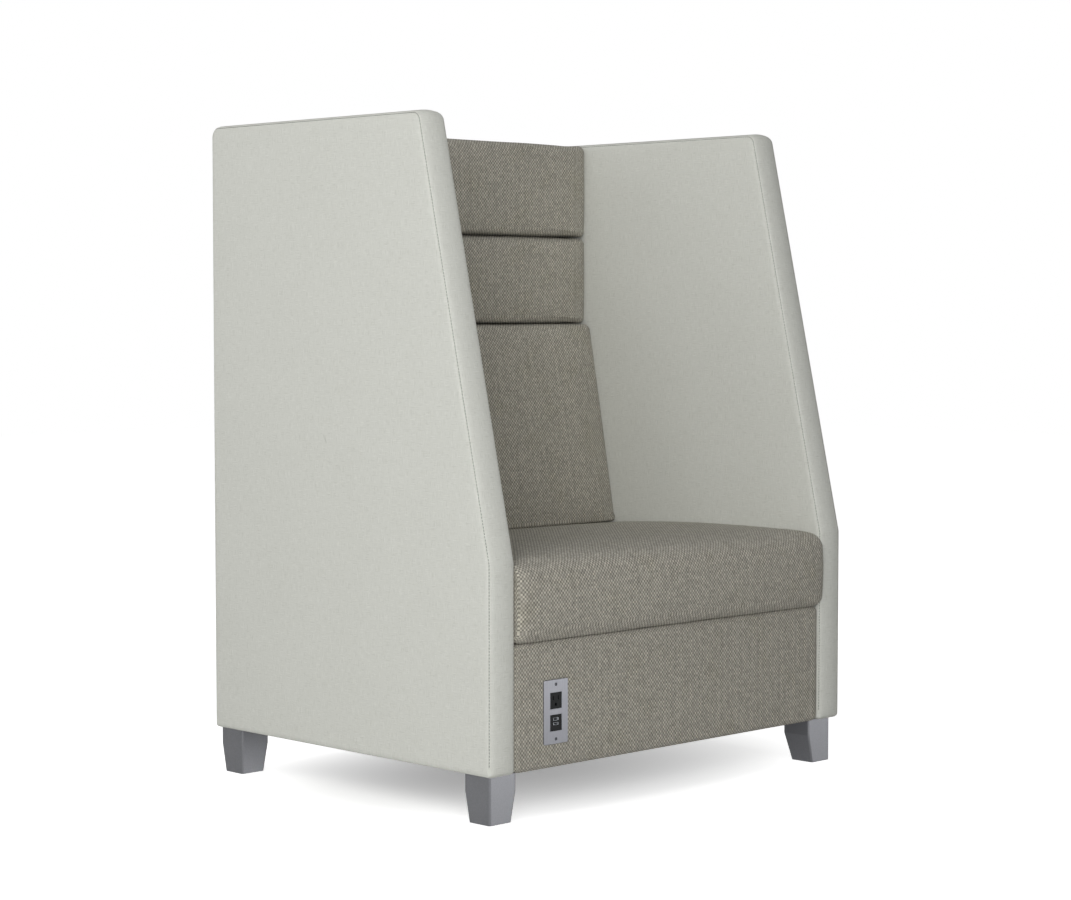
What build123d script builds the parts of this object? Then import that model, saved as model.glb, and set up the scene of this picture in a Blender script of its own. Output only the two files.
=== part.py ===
from build123d import *
import os
from math import hypot

# High-back acoustic lounge chair: two tall upholstered side panels, a sprung seat between
# them on an upholstered front rail, three stacked back cushions, four tapered metal legs
# with levelling glides, and a power unit in the front rail.
#
# Millimetres. The origin is on the floor under the middle of the chair's box, +Z is up,
# and the chair faces -Y. Left is -X, as seen by somebody who looks at the chair's front.

os.makedirs("parts", exist_ok=True)

# ---- Overall form ----------------------------------------------------------------------
overall_width = 980.0
overall_height = 1270.0
panel_depth = 790.0
panel_thickness = 65.0
leg_height = 89.0  # floor to the underside of the panels and of the rail
knee_height = 468.0  # where the front edge of a panel starts to slope back
top_setback = 183.0  # how far the front edge has sloped back at the top
seat_overhang = 16.0  # the seat's front crown stands ahead of the panels by this

# ---- Side panel layers -----------------------------------------------------------------
cloth = 1.5  # upholstery cloth with its backing
panel_foam_thickness = 10.0
panel_core_thickness = 18.0
panel_corner_radius = 20.0
panel_edge_radius = 9.0
cover_hem = 18.0  # cloth turned under each panel's foot, on all sides
lightening_hole_radius = 45.0
lightening_hole_pitch = 150.0
lightening_hole_margin = 55.0  # least plywood between a hole and the core's edge

# ---- Front rail facing -----------------------------------------------------------------
rail_top = 320.0
rail_setback = 2.0  # the facing lies behind the panels' front edges by this
rail_foam_thickness = 8.0
rail_board_thickness = 12.0
rail_edge_radius = 8.0
rail_corner_radius = 11.0
soft_gap = 0.5  # between a soft piece and its neighbour

# ---- Seat frame ------------------------------------------------------------------------
frame_rail_thickness = 22.0
spring_rail_drop = 20.0  # front and rear frame rails lie under the rail top by this
dust_cover_thickness = 1.0
dust_cover_margin = 6.0
corner_block_leg = 45.0
spring_count = 5
spring_wire = 4.1
spring_width = 52.0
spring_spacing = 150.0
spring_turn_pitch = 36.0
clip_sheet = 1.2
clip_length = 14.0  # along the wire's end run
clip_width = 15.0

# ---- Seat cushion ----------------------------------------------------------------------
seat_front_height = 150.0  # from the rail top to the top of the front edge
seat_rise = 2.0  # front edge up to the crest of the seat
seat_fall = 17.0  # crest down to the joint with the lower back cushion
seat_crest_depth = 150.0  # from the panels' front edges back to the crest
seat_front_bulge = 5.0
seat_crown = 8.0
seat_draw = 20.0
seat_upper_radius = 30.0
seat_lower_radius = 20.0
wadding = 14.0  # padding and cloth around every foam block

# ---- Back ------------------------------------------------------------------------------
back_cushion_depth = 82.5  # back frame to the face of the upper and middle cushions
lumbar_top_step = 16.0  # the lower cushion's face stands ahead of the middle one's
lumbar_slope = 79.0  # the lower cushion's face runs forward by this down to the seat
upper_cushion_height = 199.0
middle_cushion_height = 187.0
back_radius = 15.0
back_draw = 14.0
back_bulge = 1.0  # the least bow of a back cushion's face, at its sides
back_crown = 4.0
cushion_board_thickness = 12.0
back_frame_thickness = 36.0
back_frame_rail_height = 50.0
back_rail_inset = 55.0  # cross rail centre in from a cushion's top or bottom
outer_back_recess = 5.0  # outer back cloth in from the panels' rear edges
outer_back_foam_thickness = 5.0
outer_back_board_thickness = 6.0
outer_back_radius = 4.0
back_top_drop = 3.0  # the outer back's cap lies under the panels' top by this
cushion_screw_radius = 2.5
cushion_screw_length = 42.0
cushion_screw_head_radius = 4.8
cushion_screw_head_height = 3.0
cushion_screw_span = 500.0

# ---- Bolts between the frames and the side panels --------------------------------------
bolt_radius = 4.0
bolt_clearance = 0.3
bolt_head_flats = 13.0
bolt_head_height = 8.0
bolt_flange_radius = 9.0
bolt_flange_height = 1.6
sleeve_radius = 9.0
insert_radius = 6.0
insert_length = 16.0
thread_gap = 0.05
base_bolt_inset = 110.0  # from either end of a side rail

# ---- Legs and levelling glides ---------------------------------------------------------
leg_width = 66.0
leg_foot_width = 54.0
leg_straight = 32.0  # upright part under the panel, before the taper
leg_side_inset = 14.0
front_leg_inset = 14.0
rear_leg_inset = 4.0
leg_wall = 3.0
leg_edge_radius = 4.5
leg_top_plate = 5.0
leg_foot_plate = 4.0
leg_stud_spacing = 26.0
leg_stud_length = 28.0
glide_proud = 1.5
glide_radius = 18.0
glide_thickness = 8.0
glide_edge_radius = 1.5
glide_stem_radius = 4.0
glide_stem_length = 36.0
glide_stem_chamfer = 0.8
glide_running_gap = 0.08
glide_nut_flats = 13.0
glide_nut_height = 6.5

# ---- Power unit ------------------------------------------------------------------------
power_inset = 101.0  # plate centre from the left panel's inner face
power_height = 191.0
plate_width = 61.6
plate_height = 117.0
plate_thickness = 2.0
plate_corner_radius = 3.5
plate_edge_chamfer = 0.4
module_width = 29.5
module_height = 30.0
module_pitch = 40.4
module_gap = 0.2
module_flange = 3.0
module_body_depth = 32.0
module_recess = 0.4
plate_screw_span = 99.3
plate_screw_radius = 1.75
plate_screw_head_radius = 3.3
plate_screw_length = 16.0
screw_cross_length = 4.0
screw_cross_width = 0.8
screw_cross_depth = 1.0
power_box_width = 52.0
power_box_height = 107.0
power_box_depth = 60.0
power_box_wall = 1.5
power_box_tab = 9.0
power_opening_gap = 1.0
blade_slot_width = 2.2
blade_slot_height = 8.0
blade_slot_spacing = 12.7
ground_hole_radius = 2.4
ground_hole_drop = 11.9
slot_depth = 14.0
usb_port_width = 12.5
usb_port_height = 5.1
usb_port_pitch = 8.6
usb_port_rise = 2.5
usb_port_depth = 12.0
usb_tongue_width = 10.8
usb_tongue_height = 1.8
usb_tongue_setback = 0.4
bushing_radius = 10.0
bushing_bore = 6.0
bushing_flange = 12.0
bushing_flange_thickness = 1.5

# ---- Places worked out from the sizes above --------------------------------------------
panel_front = seat_overhang - (panel_depth + seat_overhang) / 2
panel_back = panel_front + panel_depth
front_slope = top_setback / (overall_height - knee_height)
outer_x = overall_width / 2
inner_x = outer_x - panel_thickness
soft_x = inner_x - soft_gap

stack_start = inner_x + cloth + panel_foam_thickness
stack_end = outer_x - cloth - panel_foam_thickness
core_start = (stack_start + stack_end - panel_core_thickness) / 2
core_end = core_start + panel_core_thickness
core_middle = (core_start + core_end) / 2
stack_inset = cloth + panel_foam_thickness
stack_foot = leg_height + cloth

rail_front = panel_front + rail_setback
rail_foam_front = rail_front + cloth
rail_board_front = rail_foam_front + rail_foam_thickness
front_rail_y = rail_board_front + rail_board_thickness
frame_foot = leg_height + dust_cover_thickness
spring_rail_top = rail_top - spring_rail_drop

outer_back_rear = panel_back - outer_back_recess
outer_back_foam_rear = outer_back_rear - cloth
outer_back_board_rear = outer_back_foam_rear - outer_back_foam_thickness
back_frame_rear = outer_back_board_rear - outer_back_board_thickness
back_frame_front = back_frame_rear - back_frame_thickness
board_front = back_frame_front - cushion_board_thickness
back_cap_top = overall_height - back_top_drop
back_frame_top = back_cap_top - cloth

side_rail_x = inner_x - frame_rail_thickness
rear_rail_y = back_frame_rear - frame_rail_thickness
side_rail_front = front_rail_y + frame_rail_thickness
upright_x = inner_x - back_frame_thickness

seat_bottom = rail_top + soft_gap
seat_front_top = rail_top + seat_front_height
seat_crest = seat_front_top + seat_rise
seat_joint = seat_crest - seat_fall
seat_front = panel_front - seat_overhang
back_face = back_frame_front - back_cushion_depth
lumbar_top = back_face - lumbar_top_step
lumbar_bottom = lumbar_top - lumbar_slope
seat_back = back_frame_front - soft_gap
upper_joint_height = overall_height - upper_cushion_height
lower_joint_height = upper_joint_height - middle_cushion_height
back_bolt_heights = ((seat_joint + lower_joint_height) / 2, upper_joint_height)

power_x = power_inset - inner_x
power_box_front = rail_front
module_heights = (power_height + module_pitch / 2, power_height - module_pitch / 2)
plate_screw_heights = (power_height + plate_screw_span / 2, power_height - plate_screw_span / 2)

# A round piece stands on its plane, or hangs under it.
upwards = (Align.CENTER, Align.CENTER, Align.MIN)
downwards = (Align.CENTER, Align.CENTER, Align.MAX)


def save(piece, name):
    """Label a finished piece and write it to its own file."""
    piece.part.label = name
    export_step(piece.part, f"parts/{name}.step")


def block(x_range, y_range, z_range):
    """A box between three pairs of planes."""
    (x0, x1), (y0, y1), (z0, z1) = x_range, y_range, z_range
    with BuildPart() as solid:
        with Locations(((x0 + x1) / 2, (y0 + y1) / 2, (z0 + z1) / 2)):
            Box(x1 - x0, y1 - y0, z1 - z0)
    return solid.part


def mirrored(span, side):
    """An x range on the right half, carried to the given side of the chair."""
    return tuple(sorted(side * value for value in span))


# ---- Side panels -----------------------------------------------------------------------
def panel_outline(inset, foot):
    """Panel outline in (y, z): upright and sloped front edge, top, back, and a foot.

    The four other edges are drawn in by inset, and the lowest edge lies at height foot.
    """
    slant = hypot(1, front_slope)
    front = panel_front + inset
    top = overall_height - inset
    knee = knee_height - inset * (slant - 1) / front_slope
    top_front = panel_front + (top - knee_height) * front_slope + inset * slant
    rear = panel_back - inset
    corners = [(front, foot), (front, knee), (top_front, top), (rear, top), (rear, foot)]
    with BuildSketch() as outline:
        with BuildLine():
            Polyline(*corners, close=True)
        make_face()
        fillet(outline.vertices(), panel_corner_radius - min(inset, panel_corner_radius / 2))
    return outline.sketch_local


def panel_layer(side, x_range, inset, foot, edge_radius=0.0):
    """A slab of the panel's outline between two depths, counted from the chair's middle."""
    start, end = x_range
    with BuildPart() as layer:
        with BuildSketch(Plane.YZ.offset(side * start)):
            add(panel_outline(inset, foot))
        extrude(amount=side * (end - start))
        if edge_radius > 0:
            fillet(layer.faces().filter_by(Plane.YZ).edges(), edge_radius)
    return layer.part


def panel_front_at(height, inset):
    """How far forward the drawn-in outline reaches at a height."""
    return panel_front + inset + max(0.0, height - knee_height) * front_slope


def lightening_holes():
    """Centres (y, z) of the core's holes: a grid kept clear of the outline and the bolts."""
    reach = lightening_hole_radius + lightening_hole_margin
    rows = int((overall_height - stack_foot - 2 * reach) // lightening_hole_pitch)
    for row in range(rows + 1):
        height = overall_height - reach - row * lightening_hole_pitch
        first = panel_back - reach - stack_inset
        last = panel_front_at(height + reach, stack_inset) + reach
        columns = int((first - last) // lightening_hole_pitch)
        for column in range(columns + 1):
            yield first - column * lightening_hole_pitch, height


side_bolt_height = (frame_foot + spring_rail_top) / 2
panel_bolt_places = [
    (side_rail_front + base_bolt_inset, side_bolt_height, side_rail_x),
    (rear_rail_y - base_bolt_inset, side_bolt_height, side_rail_x),
] + [((back_frame_front + back_frame_rear) / 2, height, upright_x) for height in back_bolt_heights]

front_leg_y = panel_front + front_leg_inset
rear_leg_y = panel_back - rear_leg_inset - leg_width
leg_outer_x = outer_x - leg_side_inset
leg_places = {
    "front_left": (-1, front_leg_y),
    "front_right": (1, front_leg_y),
    "rear_left": (-1, rear_leg_y),
    "rear_right": (1, rear_leg_y),
}
stud_steps = (leg_foot_width / 2 - leg_stud_spacing / 2, leg_foot_width / 2 + leg_stud_spacing / 2)
stud_rows = [leg_y + step for leg_y in (front_leg_y, rear_leg_y) for step in stud_steps]


def near_hardware(y, z):
    """True where a lightening hole would break into an insert."""
    reach = lightening_hole_radius + 2 * insert_radius
    near_bolt = any(hypot(y - by, z - bz) < reach for by, bz, _ in panel_bolt_places)
    low = z - lightening_hole_radius < stack_foot + 2 * insert_length
    near_stud = any(abs(y - stud_y) < reach for stud_y in stud_rows)
    return near_bolt or (low and near_stud)


for side_name, side in (("left", -1), ("right", 1)):
    under_cloth = panel_layer(
        side, (inner_x + cloth, outer_x - cloth), cloth, stack_foot, panel_edge_radius - cloth
    )
    with BuildPart() as panel_cover:
        add(panel_layer(side, (inner_x, outer_x), 0, leg_height, panel_edge_radius))
        add(under_cloth, mode=Mode.SUBTRACT)
        add(
            block(
                mirrored((inner_x + cover_hem, outer_x - cover_hem), side),
                (panel_front + leg_width + front_leg_inset + cover_hem, rear_leg_y - cover_hem),
                (leg_height, stack_foot),
            ),
            mode=Mode.SUBTRACT,
        )
        for bolt_y, bolt_z, _ in panel_bolt_places:
            with Locations(Plane((side * (inner_x + cloth / 2), bolt_y, bolt_z), z_dir=(1, 0, 0))):
                Cylinder(sleeve_radius, 2 * cloth, mode=Mode.SUBTRACT)
        for stud_y in stud_rows:
            with Locations((side * core_middle, stud_y, leg_height + cloth / 2)):
                Cylinder(insert_radius, 2 * cloth, mode=Mode.SUBTRACT)
    save(panel_cover, f"{side_name}_panel_cover")

    with BuildPart() as panel_foam:
        add(under_cloth)
        add(panel_layer(side, (stack_start, stack_end), stack_inset, stack_foot), mode=Mode.SUBTRACT)
        for bolt_y, bolt_z, _ in panel_bolt_places:
            hole_x = side * (inner_x + stack_start) / 2
            with Locations(Plane((hole_x, bolt_y, bolt_z), z_dir=(1, 0, 0))):
                Cylinder(sleeve_radius, panel_foam_thickness + 2 * cloth, mode=Mode.SUBTRACT)
    save(panel_foam, f"{side_name}_panel_foam")

    with BuildPart() as panel_felt:
        add(panel_layer(side, (stack_start, core_start), stack_inset, stack_foot))
        add(panel_layer(side, (core_end, stack_end), stack_inset, stack_foot))
        for bolt_y, bolt_z, _ in panel_bolt_places:
            hole_x = side * (stack_start + core_start) / 2
            with Locations(Plane((hole_x, bolt_y, bolt_z), z_dir=(1, 0, 0))):
                Cylinder(sleeve_radius, core_start - stack_start, mode=Mode.SUBTRACT)
    save(panel_felt, f"{side_name}_panel_felt")

    with BuildPart() as panel_core:
        add(panel_layer(side, (core_start, core_end), stack_inset, stack_foot))
        for hole_y, hole_z in lightening_holes():
            if not near_hardware(hole_y, hole_z):
                with Locations(Plane((side * core_middle, hole_y, hole_z), z_dir=(1, 0, 0))):
                    Cylinder(lightening_hole_radius, 2 * panel_core_thickness, mode=Mode.SUBTRACT)
        for bolt_y, bolt_z, _ in panel_bolt_places:
            with Locations(Plane((side * core_start, bolt_y, bolt_z), z_dir=(side, 0, 0))):
                Cylinder(insert_radius, insert_length, align=upwards, mode=Mode.SUBTRACT)
        for stud_y in stud_rows:
            with Locations((side * core_middle, stud_y, stack_foot)):
                Cylinder(insert_radius, leg_stud_length, align=upwards, mode=Mode.SUBTRACT)
    save(panel_core, f"{side_name}_panel_core")


# ---- Front rail facing -----------------------------------------------------------------
def rail_form(inset, y_range, edge_radius):
    """The facing's front form between two depths: rounded upper corners and front edge."""
    y_start, y_end = y_range
    width = 2 * (soft_x - inset)
    height = rail_top - leg_height - 2 * inset
    with BuildPart() as form:
        middle = (0, y_start, (rail_top + leg_height) / 2)
        with BuildSketch(Plane(middle, x_dir=(1, 0, 0), z_dir=(0, 1, 0))) as face:
            Rectangle(width, height)
            upper = face.vertices().group_by(Axis.Z)[-1]
            fillet(upper, rail_corner_radius - inset)
        extrude(amount=y_end - y_start)
        if edge_radius > 0:
            fillet(form.faces().sort_by(Axis.Y)[0].edges(), edge_radius)
    return form.part


power_opening = block(
    (
        power_x - power_box_width / 2 - power_opening_gap,
        power_x + power_box_width / 2 + power_opening_gap,
    ),
    (rail_front - cloth, side_rail_front + cloth),
    (
        power_height - power_box_height / 2 - power_opening_gap,
        power_height + power_box_height / 2 + power_opening_gap,
    ),
)

with BuildPart() as front_rail_cover:
    add(rail_form(0, (rail_front, front_rail_y), rail_edge_radius))
    add(rail_form(cloth, (rail_foam_front, front_rail_y), rail_edge_radius - cloth), mode=Mode.SUBTRACT)
    add(power_opening, mode=Mode.SUBTRACT)
save(front_rail_cover, "front_rail_cover")

with BuildPart() as front_rail_foam:
    add(rail_form(cloth, (rail_foam_front, rail_board_front), rail_edge_radius - cloth))
    add(power_opening, mode=Mode.SUBTRACT)
save(front_rail_foam, "front_rail_foam")

with BuildPart() as front_rail_board:
    add(rail_form(cloth, (rail_board_front, front_rail_y), 0))
    add(power_opening, mode=Mode.SUBTRACT)
save(front_rail_board, "front_rail_board")


# ---- Seat frame ------------------------------------------------------------------------
with BuildPart() as front_frame_rail:
    add(block((-inner_x, inner_x), (front_rail_y, side_rail_front), (frame_foot, spring_rail_top)))
    add(power_opening, mode=Mode.SUBTRACT)
save(front_frame_rail, "front_frame_rail")

with BuildPart() as rear_frame_rail:
    add(block((-inner_x, inner_x), (rear_rail_y, back_frame_rear), (frame_foot, spring_rail_top)))
save(rear_frame_rail, "rear_frame_rail")

for side_name, side in (("left", -1), ("right", 1)):
    with BuildPart() as side_frame_rail:
        add(
            block(
                mirrored((side_rail_x, inner_x), side),
                (side_rail_front, rear_rail_y),
                (frame_foot, spring_rail_top),
            )
        )
        for bolt_y, bolt_z, head_x in panel_bolt_places:
            if head_x == side_rail_x:
                hole_x = side * (side_rail_x + inner_x) / 2
                with Locations(Plane((hole_x, bolt_y, bolt_z), z_dir=(1, 0, 0))):
                    Cylinder(bolt_radius + bolt_clearance, frame_rail_thickness, mode=Mode.SUBTRACT)
    save(side_frame_rail, f"{side_name}_frame_rail")

with BuildPart() as corner_blocks:
    with BuildSketch(Plane.XY.offset(frame_foot)):
        for side in (-1, 1):
            for corner_y, inward in ((side_rail_front, 1), (rear_rail_y, -1)):
                with BuildLine():
                    Polyline(
                        (side * side_rail_x, corner_y),
                        (side * (side_rail_x - corner_block_leg), corner_y),
                        (side * side_rail_x, corner_y + inward * corner_block_leg),
                        close=True,
                    )
                make_face()
    extrude(amount=spring_rail_top - frame_foot)
save(corner_blocks, "corner_blocks")

# Sinuous springs: straight runs across, joined by half turns, from rail to rail.
spring_z = spring_rail_top + clip_sheet + thread_gap + spring_wire / 2
spring_front = (front_rail_y + side_rail_front) / 2
spring_rear = (rear_rail_y + back_frame_rear) / 2
spring_turns = 2 * round((spring_rear - spring_front) / spring_turn_pitch / 2)
turn_pitch = (spring_rear - spring_front) / spring_turns
turn_radius = turn_pitch / 2
run_reach = spring_width / 2 - turn_radius
spring_columns = [(index - (spring_count - 1) / 2) * spring_spacing for index in range(spring_count)]

with BuildPart() as seat_springs:
    for column in spring_columns:
        with BuildLine(Plane.XY.offset(spring_z)) as wire:
            side = -1
            for turn in range(spring_turns + 1):
                run_y = spring_front + turn * turn_pitch
                start = (column + side * run_reach, run_y)
                end = (column - side * run_reach, run_y)
                Line(start, end)
                side = -side
                if turn < spring_turns:
                    ThreePointArc(
                        end,
                        (end[0] + side * turn_radius, run_y + turn_radius),
                        (end[0], run_y + turn_pitch),
                    )
        with BuildSketch(Plane(wire.line @ 0, z_dir=wire.line % 0)):
            Circle(spring_wire / 2)
        sweep()
save(seat_springs, "seat_springs")

clip_top = spring_z + spring_wire / 2 + thread_gap + clip_sheet
with BuildPart() as spring_clips:
    for column in spring_columns:
        for clip_y in (spring_front, spring_rear):
            with Locations((column, clip_y, (spring_rail_top + clip_top) / 2)):
                Box(clip_length, clip_width, clip_top - spring_rail_top)
            with Locations(Plane((column, clip_y, spring_z), z_dir=(1, 0, 0))):
                Cylinder(spring_wire / 2 + thread_gap, clip_length, mode=Mode.SUBTRACT)
save(spring_clips, "spring_clips")

with BuildPart() as spring_pad:
    add(block((-soft_x, soft_x), (front_rail_y + soft_gap, seat_back), (clip_top, rail_top)))
save(spring_pad, "spring_pad")

with BuildPart() as dust_cover:
    add(
        block(
            (dust_cover_margin - inner_x, inner_x - dust_cover_margin),
            (front_rail_y + soft_gap, back_frame_rear - dust_cover_margin),
            (leg_height, frame_foot),
        )
    )
save(dust_cover, "dust_cover")


# ---- Cushions --------------------------------------------------------------------------
def stations(half_width, draw, crown):
    """Sections across a cushion: (x, how far the outline is drawn in, crown there)."""
    right = [
        (0.0, 0.0, crown),
        (half_width / 2, 0.0, 0.8 * crown),
        (half_width - 2 * draw, 0.0, 0.25 * crown),
        (half_width - draw, 0.06 * draw, 0.0),
        (half_width - 0.3 * draw, 0.3 * draw, 0.0),
        (half_width, draw, 0.0),
    ]
    return [(-x, inset, rise) for x, inset, rise in reversed(right[1:])] + right


def seat_outline(inset, crown):
    """Side view of the seat in (y, z): bulged front, crested top, flat foot on the springs."""
    front = seat_front + seat_front_bulge + inset
    low = seat_bottom + inset
    high = seat_front_top - inset
    crest = (panel_front + seat_crest_depth, seat_crest + crown - inset)
    joint = (lumbar_bottom, seat_joint - inset)
    with BuildSketch() as outline:
        with BuildLine():
            Line((seat_back, low), (front, low))
            ThreePointArc((front, low), (front - seat_front_bulge, (low + high) / 2), (front, high))
            ThreePointArc((front, high), crest, joint)
            Line(joint, (seat_back, seat_joint - inset))
            Line((seat_back, seat_joint - inset), (seat_back, low))
        make_face()
        fillet(outline.vertices().sort_by_distance((front, low))[0], seat_lower_radius)
        fillet(outline.vertices().sort_by_distance((front, high))[0], seat_upper_radius)
    return outline.sketch_local


def back_outline(z_range, faces, inset, crown):
    """Side view of a back cushion in (y, z): a bulged front with two rounded corners."""
    low, high = z_range[0] + inset, z_range[1] - inset
    front_low, front_high = faces[0] + inset, faces[1] + inset
    middle = ((front_low + front_high) / 2 - back_bulge - crown, (low + high) / 2)
    with BuildSketch() as outline:
        with BuildLine():
            Line((back_frame_front, low), (front_low, low))
            ThreePointArc((front_low, low), middle, (front_high, high))
            Line((front_high, high), (back_frame_front, high))
            Line((back_frame_front, high), (back_frame_front, low))
        make_face()
        fillet(outline.vertices().sort_by(Axis.X)[:2], back_radius)
    return outline.sketch_local


with BuildPart() as seat_form:
    for x, inset, crown in stations(soft_x, seat_draw, seat_crown):
        with BuildSketch(Plane.YZ.offset(x)):
            add(seat_outline(inset, crown))
    loft(ruled=True)

# The foam block follows the seat's straight lines, a wadding's depth inside the cloth. Its ends
# and its lower front edge are cut back where the cover is rounded.
seat_foam_front = seat_front + seat_front_bulge + wadding
seat_foam_cut = seat_lower_radius / 2
seat_foam_x = soft_x - seat_draw
with BuildPart() as seat_foam:
    with BuildSketch(Plane.YZ.offset(-seat_foam_x)):
        with BuildLine():
            Polyline(
                (seat_back - wadding, seat_bottom),
                (seat_foam_front + seat_foam_cut, seat_bottom),
                (seat_foam_front, seat_bottom + seat_foam_cut),
                (seat_foam_front, seat_front_top - seat_upper_radius),
                (seat_foam_front + seat_upper_radius - wadding, seat_front_top - wadding),
                (panel_front + seat_crest_depth, seat_crest - wadding),
                (lumbar_bottom, seat_joint - wadding),
                (seat_back - wadding, seat_joint - wadding),
                close=True,
            )
        make_face()
    extrude(amount=2 * seat_foam_x)
save(seat_foam, "seat_foam")

with BuildPart() as seat_cushion:
    add(seat_form.part)
    add(seat_foam.part, mode=Mode.SUBTRACT)
save(seat_cushion, "seat_cushion")

half_gap = soft_gap / 2
back_cushions = {
    "upper": ((upper_joint_height + half_gap, overall_height), (back_face, back_face)),
    "middle": ((lower_joint_height + half_gap, upper_joint_height - half_gap), (back_face, back_face)),
    "lower": ((seat_joint + soft_gap, lower_joint_height - half_gap), (lumbar_bottom, lumbar_top)),
}
for cushion_name, (z_range, faces) in back_cushions.items():
    block_low, block_high = z_range[0] + wadding, z_range[1] - wadding
    board_space = block(
        (wadding - soft_x, soft_x - wadding), (board_front, back_frame_front), (block_low, block_high)
    )
    with BuildPart() as back_foam:
        with BuildSketch(Plane.YZ.offset(wadding - soft_x)):
            with BuildLine():
                Polyline(
                    (board_front, block_low),
                    (faces[0] + wadding, block_low),
                    (faces[1] + wadding, block_high),
                    (board_front, block_high),
                    close=True,
                )
            make_face()
        extrude(amount=2 * (soft_x - wadding))
    save(back_foam, f"{cushion_name}_back_foam")

    with BuildPart() as back_board:
        add(board_space)
        for screw_x in (-cushion_screw_span / 2, cushion_screw_span / 2):
            for screw_z in (z_range[0] + back_rail_inset, z_range[1] - back_rail_inset):
                with Locations(Plane((screw_x, back_frame_front, screw_z), z_dir=(0, -1, 0))):
                    Cylinder(
                        cushion_screw_radius,
                        cushion_screw_length - back_frame_thickness + cushion_screw_head_height,
                        align=upwards,
                        mode=Mode.SUBTRACT,
                    )
    save(back_board, f"{cushion_name}_back_board")

    with BuildPart() as back_cushion:
        for x, inset, crown in stations(soft_x, back_draw, back_crown):
            with BuildSketch(Plane.YZ.offset(x)):
                add(back_outline(z_range, faces, inset, crown))
        loft(ruled=True)
        add(back_foam.part, mode=Mode.SUBTRACT)
        add(board_space, mode=Mode.SUBTRACT)
    save(back_cushion, f"{cushion_name}_back_cushion")


# ---- Back frame and outer back ---------------------------------------------------------
cross_rail_heights = [
    height
    for z_range, _ in back_cushions.values()
    for height in (z_range[0] + back_rail_inset, z_range[1] - back_rail_inset)
]

with BuildPart() as back_frame:
    for side in (-1, 1):
        add(
            block(
                mirrored((upright_x, inner_x), side),
                (back_frame_front, back_frame_rear),
                (spring_rail_top, back_frame_top),
            )
        )
    for height in cross_rail_heights:
        add(
            block(
                (-upright_x, upright_x),
                (back_frame_front, back_frame_rear),
                (height - back_frame_rail_height / 2, height + back_frame_rail_height / 2),
            )
        )
    for side in (-1, 1):
        for bolt_y, bolt_z, head_x in panel_bolt_places:
            if head_x == upright_x:
                hole_x = side * (upright_x + inner_x) / 2
                with Locations(Plane((hole_x, bolt_y, bolt_z), z_dir=(1, 0, 0))):
                    Cylinder(bolt_radius + bolt_clearance, back_frame_thickness, mode=Mode.SUBTRACT)
    for screw_x in (-cushion_screw_span / 2, cushion_screw_span / 2):
        for height in cross_rail_heights:
            with Locations(Plane((screw_x, back_frame_rear, height), z_dir=(0, -1, 0))):
                CounterBoreHole(
                    cushion_screw_radius,
                    cushion_screw_head_radius,
                    cushion_screw_head_height,
                    depth=back_frame_thickness,
                )
save(back_frame, "back_frame")

with BuildPart() as cushion_screws:
    for screw_x in (-cushion_screw_span / 2, cushion_screw_span / 2):
        for height in cross_rail_heights:
            with Locations(Plane((screw_x, back_frame_rear, height), z_dir=(0, -1, 0))):
                Cylinder(cushion_screw_head_radius, cushion_screw_head_height, align=upwards)
                Cylinder(cushion_screw_radius, cushion_screw_length, align=upwards)
save(cushion_screws, "cushion_screws")

back_inner_x = soft_x - cloth
back_board_space = block(
    (-back_inner_x, back_inner_x), (back_frame_rear, outer_back_board_rear), (stack_foot, back_frame_top)
)
with BuildPart() as outer_back_board:
    add(back_board_space)
save(outer_back_board, "outer_back_board")

with BuildPart() as outer_back_foam:
    add(
        block(
            (-back_inner_x, back_inner_x),
            (outer_back_board_rear, outer_back_foam_rear),
            (stack_foot, back_frame_top),
        )
    )
    fillet(outer_back_foam.faces().sort_by(Axis.Y)[-1].edges(), outer_back_radius - cloth)
save(outer_back_foam, "outer_back_foam")

with BuildPart() as outer_back_cover:
    add(block((-soft_x, soft_x), (back_frame_rear, outer_back_rear), (leg_height, back_cap_top)))
    fillet(outer_back_cover.faces().sort_by(Axis.Y)[-1].edges(), outer_back_radius)
    add(back_board_space, mode=Mode.SUBTRACT)
    add(outer_back_foam.part, mode=Mode.SUBTRACT)
    add(
        block(
            (-soft_x, soft_x),
            (back_frame_front + soft_gap, back_frame_rear),
            (back_frame_top, back_cap_top),
        )
    )
save(outer_back_cover, "outer_back_cover")


# ---- Bolts, sleeves and inserts --------------------------------------------------------
with BuildPart() as panel_bolts:
    for side in (-1, 1):
        for bolt_y, bolt_z, head_x in panel_bolt_places:
            head_plane = Plane((side * head_x, bolt_y, bolt_z), z_dir=(-side, 0, 0))
            with Locations(head_plane):
                Cylinder(bolt_flange_radius, bolt_flange_height, align=upwards)
                Cylinder(bolt_radius, core_start + insert_length - head_x, align=downwards)
            with BuildSketch(head_plane.offset(bolt_flange_height)):
                RegularPolygon(bolt_head_flats / 2, 6, major_radius=False)
            extrude(amount=bolt_head_height - bolt_flange_height)
save(panel_bolts, "panel_bolts")

with BuildPart() as bolt_sleeves:
    for side in (-1, 1):
        for bolt_y, bolt_z, _ in panel_bolt_places:
            with Locations(Plane((side * inner_x, bolt_y, bolt_z), z_dir=(side, 0, 0))):
                Cylinder(sleeve_radius, core_start - inner_x, align=upwards)
                Cylinder(
                    bolt_radius + bolt_clearance, core_start - inner_x, align=upwards, mode=Mode.SUBTRACT
                )
save(bolt_sleeves, "bolt_sleeves")

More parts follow.
